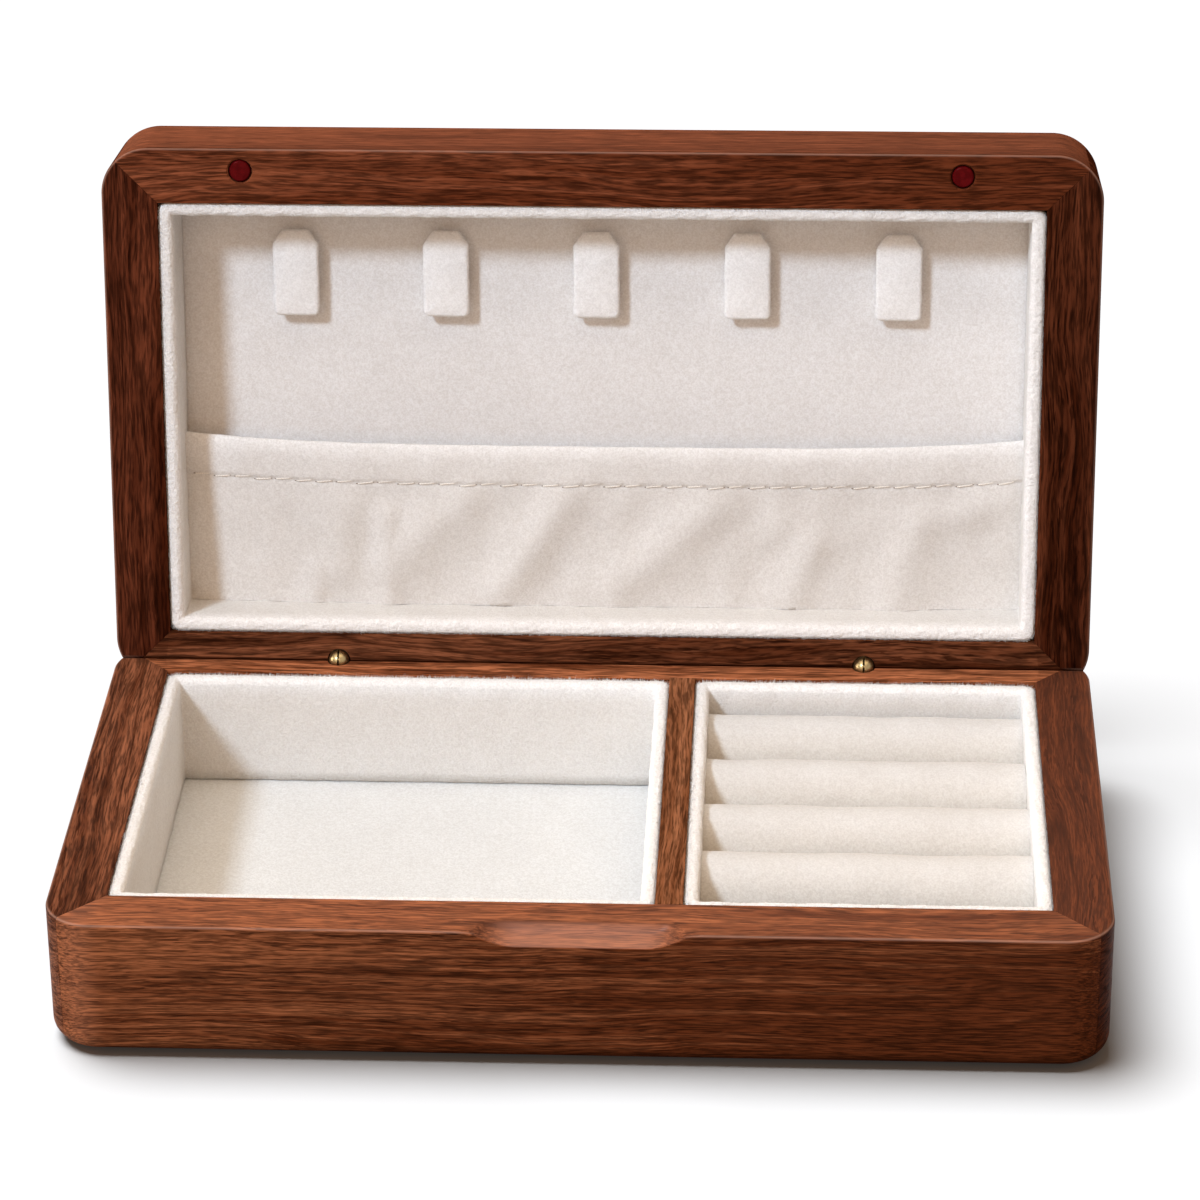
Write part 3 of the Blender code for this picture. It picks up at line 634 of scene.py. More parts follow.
@dataclass(frozen=True)
class Pile:
    """The pile of velvet: soft clouds where it lies another way, clumps and single tufts."""

    name: str = "velvet_pile"
    clouds: Noise = Noise((0.09, 0.09, 0.09))
    cloud_weight: float = 0.14
    clumps: Noise = Noise((0.85, 0.85, 0.85), 2.0, 0.6, 0.36, 0.64)
    clump_weight: float = 0.32
    clump_relief: float = 0.5
    tufts: Noise = Noise((2.1, 2.1, 2.1), 2.0, 0.6, 0.38, 0.62)
    tuft_weight: float = 0.54

    def build(self) -> bpy.types.NodeTree:
        """Build the group, whose vector is in millimetres.

        Returns:
            The group.
        """
        group = Effect(
            self.name,
            {"Vector": "Vector", "Lit": "Color", "Deep": "Color"},
            {"Color": "Color", "Height": "Float"},
        )
        spot = group.given["Vector"]
        tone = group.times(group.clouds(spot, self.clumps), self.clump_weight)
        tone = group.sums("MULTIPLY_ADD", group.clouds(spot, self.clouds), self.cloud_weight, tone)
        tone = group.sums("MULTIPLY_ADD", group.clouds(spot, self.tufts), self.tuft_weight, tone)
        clumps, tufts = group.noise(spot, self.clumps), group.noise(spot, self.tufts)
        group.feed(group.result, {
            "Color": group.mix(tone, group.given["Deep"], group.given["Lit"]),
            "Height": group.sums("MULTIPLY_ADD", clumps, self.clump_relief, tufts),
        })
        return group.tree


class Paint(Graph):
    """A material in the making, with its shader and the place that its pattern is read at."""

    def __init__(self, name: str) -> None:
        """Start the material on the object's own coordinates.

        Args:
            name: The material's name.
        """
        self.material = bpy.data.materials.new(name)
        self.material.use_nodes = True
        super().__init__(self.material.node_tree)
        self.shader = self.tree.nodes["Principled BSDF"]
        self.spot = self.node("TexCoord", {}).outputs["Object"]

    def carry(self, **inputs: object) -> None:
        """Carry the place through a Mapping node."""
        self.spot = self.node("Mapping", {"Vector": self.spot, **inputs}, vector_type="POINT").outputs[0]

    def effect(self, recipe: Grain | Pile, inputs: dict[str | int, object]) -> dict[str, Socket]:
        """Place a shared effect, which is built the first time, and return its outputs."""
        tree = bpy.data.node_groups.get(recipe.name) or recipe.build()
        return dict(self.node("Group", inputs, node_tree=tree).outputs.items())


@dataclass(frozen=True)
class Finish:
    """What every finish has: its material's name and slot, and where its pattern is read."""

    name: str
    slot: str = "cream_velvet"
    stand: Stand = Stand()
    along_y: bool = False
    cut_at: Triple = (0.0, 0.0, 0.0)

    @cached_property
    def paint(self) -> Paint:
        """Start the material, with its places in millimetres from where the piece was cut."""
        paint = Paint(self.name)
        back = Euler((self.stand.lean, 0.0, 0.0))
        paint.carry(Rotation=back, Location=-(back.to_matrix() @ Vector(self.stand.pivot)))
        turn = -QUARTER_TURN if self.along_y else 0.0
        paint.carry(Rotation=(0.0, 0.0, turn), Scale=(MILLIMETRES,) * 3, Location=self.cut_at)
        return paint

    @cached_property
    def material(self) -> bpy.types.Material:
        """Return the material, which is built the first time."""
        self.dress()
        return self.paint.material

    def dress(self) -> None:
        """Feed the shader, which each finish does in its own way."""
        raise NotImplementedError


@dataclass(frozen=True)
class Walnut(Finish):
    """Satin oiled walnut, sawn so that the grain runs along the piece."""

    slot: str = "walnut"
    heart: Triple = (0.125, 0.031, 0.0095)
    light: Triple = (1.66, 1.96, 2.45)
    dark: Triple = (0.44, 0.37, 0.36)
    pore: Triple = (0.20, 0.18, 0.20)
    figure: float = 0.90
    drift: Triple = (0.0, 0.0, 0.0)
    drift_from: Triple = (0.0, 0.0, 0.0)
    polish_and_sheen_at: Triple = (0.0, 0.0, 900.0)
    polish_and_sheen_size: Triple = (1.0, 1.0, 1.0)
    # Painted sheen: the pale pink that the wood is mixed towards wherever a sheen is painted.
    painted_sheen_colour: Triple = (0.47, 0.205, 0.135)
    notch_painted_light: float = 0.22
    notch_painted_sheen: float = 0.24
    polish_coat: float = 0.42
    coat_roughness: float = 0.36
    polish_and_sheen_fade: Pair = (1.25, 0.95)
    ends_fade: Pair = (24.0, 14.0)
    behind_fade: Pair = (0.1, 0.7)
    below_fade: Pair = (-0.1, -1.0)
    run_behind_fade: Pair = (0.15, 0.75)
    run_ends_fade: Pair = (45.0, 40.0)
    run_below_fade: Pair = (-5.5, -5.0)
    face_fade: Pair = (-0.75, -0.15)
    # Painted light and sheen on the rail's top face.
    top_painted_light: float = 0.0
    top_painted_sheen: float = 0.12
    # Painted highlight near one rounded corner: lighter and paler within a reach of a given X.
    corner_highlight_at: float = -900.0
    corner_highlight_reach: float = 7.0
    corner_painted_light: float = 0.40
    corner_painted_sheen: float = 0.10
    # Painted highlight along the outer arris.
    arris_highlight_colour: Triple = (0.60, 0.36, 0.27)
    arris_highlight_weight: float = 0.28
    gloss: float = 0.0
    gloss_tint: Triple = (1.0, 0.78, 0.66)
    relief: float = 0.00007
    relief_strength: float = 0.5

    def dress(self) -> None:
        """Feed the shader: grain whose tone drifts, with painted light and a painted sheen on the top face, in
        the notch and near one corner, a painted highlight along the outer arris, and a real coat where the
        notch is polished.
        """
        paint = self.paint
        tones = {}
        for name, shares in (("Light", self.light), ("Dark", self.dark), ("Pore", self.pore)):
            tones[name] = tuple(
                (1 + (share - 1) * self.figure) * part for share, part in zip(shares, self.heart))
        polish_and_sheen, above = self.places()
        # Painted highlight near the rail's corner.
        off = paint.sums("ABSOLUTE", paint.sums("SUBTRACT", paint.parts(paint.spot)[0], self.corner_highlight_at))
        corner_highlight = paint.span(off, self.corner_highlight_reach, 0.0)
        # The tone slopes along a drift, which on the base's front rail is painted shade.
        tone = paint.vectors("DOT_PRODUCT", paint.vectors("SUBTRACT", paint.spot, self.drift_from), self.drift)
        # Painted light on the top face.
        tone = paint.sums("MULTIPLY_ADD", above, self.top_painted_light, tone)
        tone = paint.sums("MULTIPLY_ADD", corner_highlight, self.corner_painted_light, tone)
        # Painted light in the notch, beside the real coat of its polish.
        tone = paint.sums("MULTIPLY_ADD", polish_and_sheen, self.notch_painted_light, tone)
        # Painted sheen: the colour goes towards a pale pink on the top face, in the notch and near the corner.
        painted_sheen = paint.sums("MULTIPLY_ADD", above, self.top_painted_sheen, paint.times(polish_and_sheen, self.notch_painted_sheen))
        painted_sheen = paint.sums("MULTIPLY_ADD", corner_highlight, self.corner_painted_sheen, painted_sheen)
        grain = paint.effect(Grain(), {"Vector": paint.spot, "Drift": tone, **tones})
        colour = paint.mix(painted_sheen, grain["Color"], self.painted_sheen_colour)
        # Painted highlight along the outer arris, where each rail is marked.
        arris = paint.times(paint.mark("arris_share"), self.arris_highlight_weight)
        paint.feed(paint.shader, {
            "Base Color": paint.mix(arris, colour, self.arris_highlight_colour),
            "Roughness": grain["Roughness"],
            "Normal": paint.bump(grain["Height"], self.relief, self.relief_strength),
            "Coat Weight": paint.times(polish_and_sheen, self.polish_coat),
            "Coat Roughness": self.coat_roughness,
            "Specular IOR Level": self.gloss,
            "Specular Tint": self.gloss_tint,
        })

    def places(self) -> tuple[Socket, Socket]:
        """Return where the notch is polished and given a painted sheen, and where the rail's top face is, which
        gets painted light.

        Formula: products of smooth steps of the distances from the given place of the polish and its painted
        sheen, in millimetres. The polish and its painted sheen lie inside the finger notch, behind the front
        face and below the top face, and the stretch that runs into the notch counts as top face.

        Returns:
            A mask of the polish and its painted sheen, and a mask of the top face's painted light and sheen.
        """
        paint = self.paint
        away = paint.vectors("SUBTRACT", paint.spot, self.polish_and_sheen_at)
        far = paint.vectors("LENGTH", paint.vectors("DIVIDE", away, self.polish_and_sheen_size))
        across, deep, up = paint.parts(away)
        across = paint.sums("ABSOLUTE", across)
        near = paint.times(paint.span(far, *self.polish_and_sheen_fade), paint.span(across, *self.ends_fade))
        inside = paint.times(paint.span(deep, *self.behind_fade), paint.span(up, *self.below_fade))
        run_in = paint.times(paint.span(deep, *self.run_behind_fade), paint.span(across, *self.run_ends_fade))
        run_in = paint.times(run_in, paint.span(up, *self.run_below_fade))
        above = paint.sums("MAXIMUM", paint.span(up, *self.face_fade), run_in)
        return paint.times(near, inside), above


@dataclass(frozen=True)
class Velvet(Finish):
    """Cream velvet with a short pile, with a painted highlight where its crests and rims would catch the light.
    """

    lit: Triple = (0.88, 0.855, 0.835)
    deep: Triple = (0.735, 0.695, 0.66)
    # Painted highlight: paler colours of the pile, mixed in where it is marked.
    highlight_lit: Triple = (0.94, 0.92, 0.90)
    highlight_deep: Triple = (0.76, 0.73, 0.70)
    relief: float = 0.00026
    relief_strength: float = 0.7
    roughness: float = 0.95
    gloss: float = 0.05
    sheen: float = 0.20
    sheen_roughness: float = 0.45
    sheen_tint: Triple = (1.0, 0.97, 0.93)

    def dress(self) -> None:
        """Feed the shader: the pile between its lit and its deep colour, with a painted highlight where it is
        marked.
        """
        paint = self.paint
        # Painted highlight share of each point.
        highlight = paint.mark("crest_share")
        pile = paint.effect(Pile(), {
            "Vector": paint.spot,
            "Lit": paint.mix(highlight, self.lit, self.highlight_lit),
            "Deep": paint.mix(highlight, self.deep, self.highlight_deep),
        })
        paint.feed(paint.shader, {
            "Base Color": pile["Color"],
            "Normal": paint.bump(pile["Height"], self.relief, self.relief_strength),
            "Roughness": self.roughness,
            "Specular IOR Level": self.gloss,
            "Sheen Weight": self.sheen,
            "Sheen Roughness": self.sheen_roughness,
            "Sheen Tint": self.sheen_tint,
        })


@dataclass(frozen=True)
class Felt(Velvet):
    """Dark brown pressed felt under the base."""

    slot: str = "brown_felt"
    lit: Triple = (0.060, 0.040, 0.030)
    deep: Triple = (0.034, 0.022, 0.016)


@dataclass(frozen=True)
class Metal(Finish):
    """A polished metal with faint turning marks and a little tarnish."""

    slot: str = "brass"
    colour: Triple = (0.40, 0.285, 0.135)
    tarnish: Triple = (0.17, 0.11, 0.05)
    tarnish_weight: float = 0.45
    stains: Noise = Noise((0.9, 0.9, 0.9), 3.0, low=0.35, high=0.75)
    scratches: Noise = Noise((7.0, 7.0, 1.4))
    roughness: Pair = (0.26, 0.416)

    def dress(self) -> None:
        """Feed the shader: metal that goes over to tarnish, and fine scratches."""
        paint = self.paint
        stain = paint.times(paint.clouds(paint.spot, self.stains), self.tarnish_weight)
        paint.feed(paint.shader, {
            "Base Color": paint.mix(stain, self.colour, self.tarnish),
            "Roughness": paint.clouds(paint.spot, self.scratches, *self.roughness),
            "Metallic": 1.0,
        })


@dataclass(frozen=True)
class Enamel(Finish):
    """Deep wine-red enamel on the lid's magnets."""

    slot: str = "wine_red_enamel"
    colour: Triple = (0.070, 0.0012, 0.0018)
    edge: Triple = (0.100, 0.0024, 0.0034)
    stains: Noise = Noise((0.7, 0.7, 0.7), low=0.35)
    specks: Noise = Noise((3.0, 3.0, 3.0))
    roughness: Pair = (0.24, 0.36)
    gloss: float = 0.03

    def dress(self) -> None:
        """Feed the shader: two near reds in clouds, with a faintly uneven surface."""
        paint = self.paint
        paint.feed(paint.shader, {
            "Base Color": paint.mix(paint.clouds(paint.spot, self.stains), self.colour, self.edge),
            "Roughness": paint.clouds(paint.spot, self.specks, *self.roughness),
            "Specular IOR Level": self.gloss,
        })


@dataclass(frozen=True)
class Ply(Finish):
    """Bare birch ply with its pale, short grain."""

    slot: str = "birch_ply"
    light: Triple = (0.62, 0.46, 0.29)
    dark: Triple = (0.45, 0.31, 0.18)
    roughness: float = 0.7

    def dress(self) -> None:
        """Feed the shader: the grain in pale colours."""
        tones = {"Light": self.light, "Dark": self.dark, "Pore": self.dark}
        grain = self.paint.effect(Grain(), {"Vector": self.paint.spot, "Drift": 0.0, **tones})
        self.paint.feed(self.paint.shader, {"Base Color": grain["Color"], "Roughness": self.roughness})


@dataclass(frozen=True)
class Pearl(Finish):
    """Mother-of-pearl: pale shell whose layers shine pink, green and blue."""

    slot: str = "mother_of_pearl"
    shell: Triple = (0.62, 0.61, 0.58)
    pink: Triple = (0.68, 0.47, 0.49)
    green: Triple = (0.41, 0.60, 0.52)
    blue: Triple = (0.39, 0.48, 0.68)
    jump: float = 90.0
    jump_slope: float = 0.37
    layers: Noise = Noise((0.16, 0.34, 0.30), 3.0, 0.6)
    layer_count: float = 42.0
    layer_shades: Pair = (0.10, 0.60)
    lustre: Noise = Noise((0.09, 0.12, 0.10))
    pink_fade: Pair = (0.36, 0.56)
    green_fade: Pair = (0.52, 0.66)
    blues: Noise = Noise((0.07, 0.07, 0.07), 1.0, low=0.52)
    tile_shades: Pair = (0.82, 1.04)
    roughness: Pair = (0.10, 0.26)
    relief: float = 0.0001
    relief_strength: float = 0.2
    coat: float = 0.5
    coat_roughness: float = 0.08

    def dress(self) -> None:
        """Feed the shader: each tile's own stretch of lustre, crossed by the shell's layers."""
        paint = self.paint
        tile = paint.mark("tile_share")
        jump = paint.times(tile, self.jump)
        offset = paint.node("CombineXYZ", {0: jump, 1: paint.times(jump, self.jump_slope)})
        own = paint.vectors("ADD", paint.spot, offset.outputs[0])
        layers = paint.noise(own, self.layers)
        lustre = paint.noise(own, self.lustre)
        colour = paint.mix(paint.span(lustre, *self.pink_fade), self.pink, self.shell)
        colour = paint.mix(paint.span(lustre, *self.green_fade), colour, self.green)
        colour = paint.mix(paint.clouds(own, self.blues), colour, self.blue)
        waves = paint.sums("SINE", paint.times(layers, self.layer_count))
        colour = paint.mix(paint.span(waves, -1.0, 1.0, *self.layer_shades), colour, self.shell)
        paint.feed(paint.shader, {
            "Base Color": paint.shaded(colour, paint.span(tile, 0.0, 1.0, *self.tile_shades)),
            "Roughness": paint.span(layers, self.layers.low, self.layers.high, *self.roughness),
            "Normal": paint.bump(layers, self.relief, self.relief_strength),
            "Coat Weight": self.coat,
            "Coat Roughness": self.coat_roughness,
        })


@dataclass(frozen=True)
class Grout(Finish):
    """Dark resin between the pearl tiles."""

    slot: str = "mother_of_pearl"
    colour: Triple = (0.050, 0.030, 0.022)
    specks: Noise = Noise((2.0, 2.0, 2.0))
    shades: Pair = (0.7, 1.3)
    roughness: Pair = (0.35, 0.5)

    def dress(self) -> None:
        """Feed the shader: one colour with specks."""
        paint = self.paint
        speck = paint.clouds(paint.spot, self.specks, *self.shades)
        paint.feed(paint.shader, {
            "Base Color": paint.shaded(self.colour, speck),
            "Roughness": paint.span(speck, *self.shades, *self.roughness),
        })


@dataclass(frozen=True)
class Thread(Finish):
    """Cream sewing thread with its twist."""

    colour: Triple = (0.92, 0.88, 0.82)
    # Painted shade in the grooves of the twist.
    groove_shade: Triple = (0.70, 0.64, 0.56)
    # Painted shade of the needle holes, where the thread dips into the cloth.
    hole: Triple = (0.16, 0.10, 0.065)
    hole_shade_fade: Pair = (0.74, 0.86)
    twist: float = 16.0
    roughness: float = 0.6

    def dress(self) -> None:
        """Feed the shader: slanting grooves with painted shade, and painted shade at the needle holes where the
        thread dips.
        """
        paint = self.paint
        x, y, _ = paint.parts(paint.spot)
        slope = paint.sums("MULTIPLY_ADD", x, self.twist, paint.times(y, self.twist))
        thread = paint.mix(paint.span(paint.sums("SINE", slope), -1.0, 1.0), self.groove_shade, self.colour)
        dip = paint.span(paint.mark("dip_share"), *self.hole_shade_fade)
        paint.feed(paint.shader, {
            "Base Color": paint.mix(dip, thread, self.hole),
            "Roughness": self.roughness,
        })


def mark(data: bpy.types.Mesh, name: str, values: np.ndarray) -> None:
    """Give each point of a mesh a value that its finish reads by name."""
    data.attributes.new(name, "FLOAT", "POINT").data.foreach_set("value", values.astype(np.float32).ravel())


def mesh(name: str, shape: Shape, tidy: bool = True, marks: dict[str, np.ndarray] | None = None) -> Piece:
    """Put a shape into the scene as an object that is shaded smooth.

    Args:
        name: The object's name.
        shape: Its points and faces.
        tidy: Whether doubles are merged and the faces turned outwards.
        marks: Values for each point that the finish reads, by name.

    Returns:
        The object.
    """
    data = bpy.data.meshes.new(name)
    data.from_pydata(shape.points.tolist(), [], shape.faces)
    for key, values in (marks or {}).items():
        mark(data, key, values)
    if tidy:
        body = bmesh.new()
        body.from_mesh(data)
        bmesh.ops.remove_doubles(body, verts=body.verts, dist=MERGE_DISTANCE)
        bmesh.ops.recalc_face_normals(body, faces=body.faces)
        body.to_mesh(data)
        body.free()
    data.shade_smooth()
    piece = bpy.data.objects.new(name, data)
    bpy.context.scene.collection.objects.link(piece)
    return piece


def trimmed(piece: Piece, planes: list[tuple[Vector, Vector]]) -> None:
    """Saw what lies beyond each plane off a closed piece and close the cut.

    Args:
        piece: The piece.
        planes: A point and an outward normal for each saw cut.
    """
    body = bmesh.new()
    body.from_mesh(piece.data)
    for point, normal in planes:
        cut = bmesh.ops.bisect_plane(
            body, geom=body.verts[:] + body.edges[:] + body.faces[:], dist=MERGE_DISTANCE,
            plane_co=point, plane_no=normal, clear_outer=True)
        rim = [item for item in cut["geom_cut"] if isinstance(item, bmesh.types.BMEdge)]
        bmesh.ops.holes_fill(body, edges=rim, sides=0)
    bmesh.ops.recalc_face_normals(body, faces=body.faces)
    body.to_mesh(piece.data)
    body.free()
    piece.data.shade_smooth()


def settled(piece: Piece) -> None:
    """Apply a piece's modifiers to its mesh.

    Args:
        piece: The piece.
    """
    graph = bpy.context.evaluated_depsgraph_get()
    graph.update()
    data = bpy.data.meshes.new_from_object(piece.evaluated_get(graph))
    piece.modifiers.clear()
    piece.data = data


def bored(piece: Piece, cutter: Shape) -> None:
    """Cut a closed shape out of a closed piece for good.

    Args:
        piece: The piece.
        cutter: The shape to take away.
    """
    tool = mesh(piece.name + "_tool", cutter)
    modifier = piece.modifiers.new("bore", "BOOLEAN")
    modifier.operation = "DIFFERENCE"
    modifier.solver = "EXACT"
    modifier.object = tool
    settled(piece)
    bpy.data.objects.remove(tool, do_unlink=True)


def crisp(piece: Piece, crease: float) -> None:
    """Keep flat faces flat beside the rounded ones: sharp creases, and normals by face area.

    Args:
        piece: The piece.
        crease: The least angle of a sharp crease, in degrees.
    """
    piece.data.shade_smooth()
    piece.data.set_sharp_from_angle(angle=math.radians(crease))
    piece.modifiers.new("flats", "WEIGHTED_NORMAL").keep_sharp = True
    settled(piece)


def coat(piece: Piece, finish: Finish) -> None:
    """Give a piece the material of a finish."""
    piece.data.materials.clear()
    piece.data.materials.append(finish.material)


def repaint(node: str, finish: Finish) -> None:
    """Give a CAD node that stays in view its material."""
    coat(bpy.data.objects[node], finish)
    LOG.info("%s keeps its CAD mesh in %s", node, finish.name)


class Creases(Enum):
    """How a piece is shaded: all smooth, sharp at steep creases, or with flat faces as well."""

    NONE = 0
    SHARP = 1
    FLATS = 2


@dataclass(frozen=True)
class Bench:
    """Where the pieces of one body are made and dressed."""

    body: str
    stand: Stand
    pieces: list[Piece] = field(default_factory=list)

    def keep(self, piece: Piece, finish: Finish, nodes: list[str]) -> None:
        """Finish a piece: its material, its body and the nodes that it stands for.

        Args:
            piece: The piece.
            finish: Its finish.
            nodes: The CAD nodes that it replaces.
        """
        coat(piece, finish)
        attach(piece, self.body)
        self.pieces.append(piece)
        if nodes:
            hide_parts(*nodes)
        LOG.info("%s: %d faces on %s", piece.name, len(piece.data.polygons), self.body)

    def add(self, name: str, shape: Shape, finish: Finish, nodes: list[str], tidy: bool = True,
            marks: dict[str, np.ndarray] | None = None, creases: Creases = Creases.NONE,
            crease: float = 30.0, fill: float = 0.0) -> Piece:
        """Make a piece from a shape in the body's own frame and keep it.

        Args:
            name: The piece's name.
            shape: Its points and faces.
            finish: Its finish.
            nodes: The CAD nodes that it replaces.
            tidy: Whether doubles are merged and the faces turned outwards.
            marks: Values for each point that the finish reads, by name.
            creases: How it is shaded.
            crease: The least angle of a sharp crease, in degrees.
            fill: The share of a padded piece that is filled, or 0 for a hard one. It is not used.

        Returns:
            The piece.
        """
        piece = mesh(name, shape.placed(self.stand), tidy, marks)
        if creases is Creases.SHARP:
            piece.data.set_sharp_from_angle(angle=math.radians(crease))
        if creases is Creases.FLATS:
            crisp(piece, crease)
        self.keep(piece, finish, nodes)
        return piece


@dataclass(frozen=True)
class Carcass:
    """The plan that the base and the lid share: sizes, rounded corners and mitres."""

    width: float = 0.250
    depth: float = 0.141
    rail: float = 0.014
    corner: float = 0.012
    edge: float = 0.005
    arris: float = 0.00080
    inner_arris: float = 0.00015
    gap: float = 0.0003
    lining: float = 0.003
    rim_drop: float = 0.0006
    mitre_gap: float = 0.00005
    mitre_arris: float = 0.00004
    hinge_inset: float = 0.007
    centre_y: float = 0.0
    corner_steps: int = 16
    outline_steps: int = 8
    # How far the painted arris highlight reaches, in arris radii.
    arris_highlight_reach: float = 1.5

    @property
    def clear_x(self) -> float:
        """Return half the width between the rails, less a gap."""
        return self.width / 2 - self.rail - self.gap

    @property
    def clear_y(self) -> float:
        """Return half the depth between the rails, less a gap."""
        return self.depth / 2 - self.rail - self.gap

    def bend(self, insets: np.ndarray, angles: np.ndarray, corner: np.ndarray) -> np.ndarray:
        """Return plan points of the rounded outline near one corner.

        Formula: inside the corner radius R the point is the arc's centre plus (R - inset) times
        the direction, and further in it is the sharp corner itself.

        Args:
            insets: How far each point is drawn in from the outer face.
            angles: Directions round the corner.
            corner: The corner's quadrant, as two signs.

        Returns:
            Points as angles by insets by two.
        """
        reach = self.corner - insets
        half = np.array([self.width / 2, self.depth / 2])
        centre = corner * (half - np.where(reach > 0, self.corner, insets)[:, None])
        points = centre[None] + np.maximum(reach, 0)[None, :, None] * ray(angles)[:, None]
        return points + np.array([0.0, self.centre_y])

    def rail_rings(self, side: Side, profile: np.ndarray, middle: np.ndarray | None = None,
                   stations: np.ndarray | None = None) -> np.ndarray:
        """Return the rings of a mitred rail, carried round half of each corner.

        Formula: the profile's points (inset, height) follow the plan outline, the end rings are
        drawn back from the mitre by half its gap, and one more ring inside each end is the arris.

        Args:
            side: Which side of the frame it is.
            profile: Points (inset, height).
            middle: Profiles along the straight part, as stations by points by two.
            stations: The places of those profiles along the side.

        Returns:
            Points as stations by profile points by three.
        """
        quarter = math.pi / 4
        sweep = np.linspace(0, quarter, self.corner_steps + 1)
        along = ray(side.angle + 2 * quarter)
        drawn_in = profile - outline_normals(profile) * self.mitre_arris
        whole = self.mitre_gap / 2 + self.mitre_arris
        sharp = (profile[:, 0] >= self.corner)[None, :, None]
        parts = []
        for end in (-1.0, 1.0):
            corner = np.sign(ray(side.angle + end * quarter))
            away = ray(side.angle - end * quarter)
            rows = []
            for shape, angles, back, slide in (
                (profile, sweep[:-1], 0.0, whole),
                (profile, sweep[-1:], whole, whole),
                (drawn_in, sweep[-1:], self.mitre_gap / 2, self.mitre_gap / 2),
            ):
                plan = self.bend(shape[:, 0], side.angle + end * angles, corner)
                shift = np.where(sharp, -end * along * slide * math.sqrt(2), away * back)
                heights = np.repeat(shape[None, :, 1:], len(angles), 0)
                rows.append(np.concatenate([plan + shift, heights], -1))
            part = np.concatenate(rows)
            parts.append(part[::-1] if end < 0 else part)
        if middle is not None:
            y = self.centre_y + math.sin(side.angle) * (self.depth / 2 - middle[..., 0])
            x = np.repeat(stations[:, None], middle.shape[1], 1)
            parts.insert(1, np.stack([x, y, middle[..., 1]], -1))
        return np.concatenate(parts)

    def mark_arris_highlight(self, piece: Piece, face: float) -> None:
        """Mark on a rail how near each point is to the middle of its outer arris, where a highlight is painted.

        Formula: with the inset i from the rounded outline and the depth d below the mating face,
        a bell of i - d that ends beyond the arris.

        Args:
            piece: The rail, in its own frame.
            face: The height of the mating face.
        """
        points = np.empty(3 * len(piece.data.vertices))
        piece.data.vertices.foreach_get("co", points)
        points = points.reshape(-1, 3) - np.array([0.0, self.centre_y, face])
        past = np.abs(points[:, :2]) - np.array([self.width / 2, self.depth / 2]) + self.corner
        inset = self.corner - np.linalg.norm(np.maximum(past, 0), axis=1) - np.minimum(past.max(1), 0)
        depth = np.abs(points[:, 2])
        near = np.clip(self.arris_highlight_reach - np.maximum(inset, depth) / self.arris, 0, 1)
        mark(piece.data, "arris_share", near * np.exp(-((inset - depth) / (self.arris / 2)) ** 2))

    def outline(self, inset: float) -> np.ndarray:
        """Return the whole plan outline.

        Args:
            inset: How far it is drawn in.

        Returns:
            The outline, as points by two.
        """
        x, y = self.width / 2 - inset, self.depth / 2 - inset
        radius = max(self.corner - inset, self.arris)
        spots = [(x, y, radius), (-x, y, radius), (-x, -y, radius), (x, -y, radius)]
        return rounded(spots, self.outline_steps) + np.array([0.0, self.centre_y])


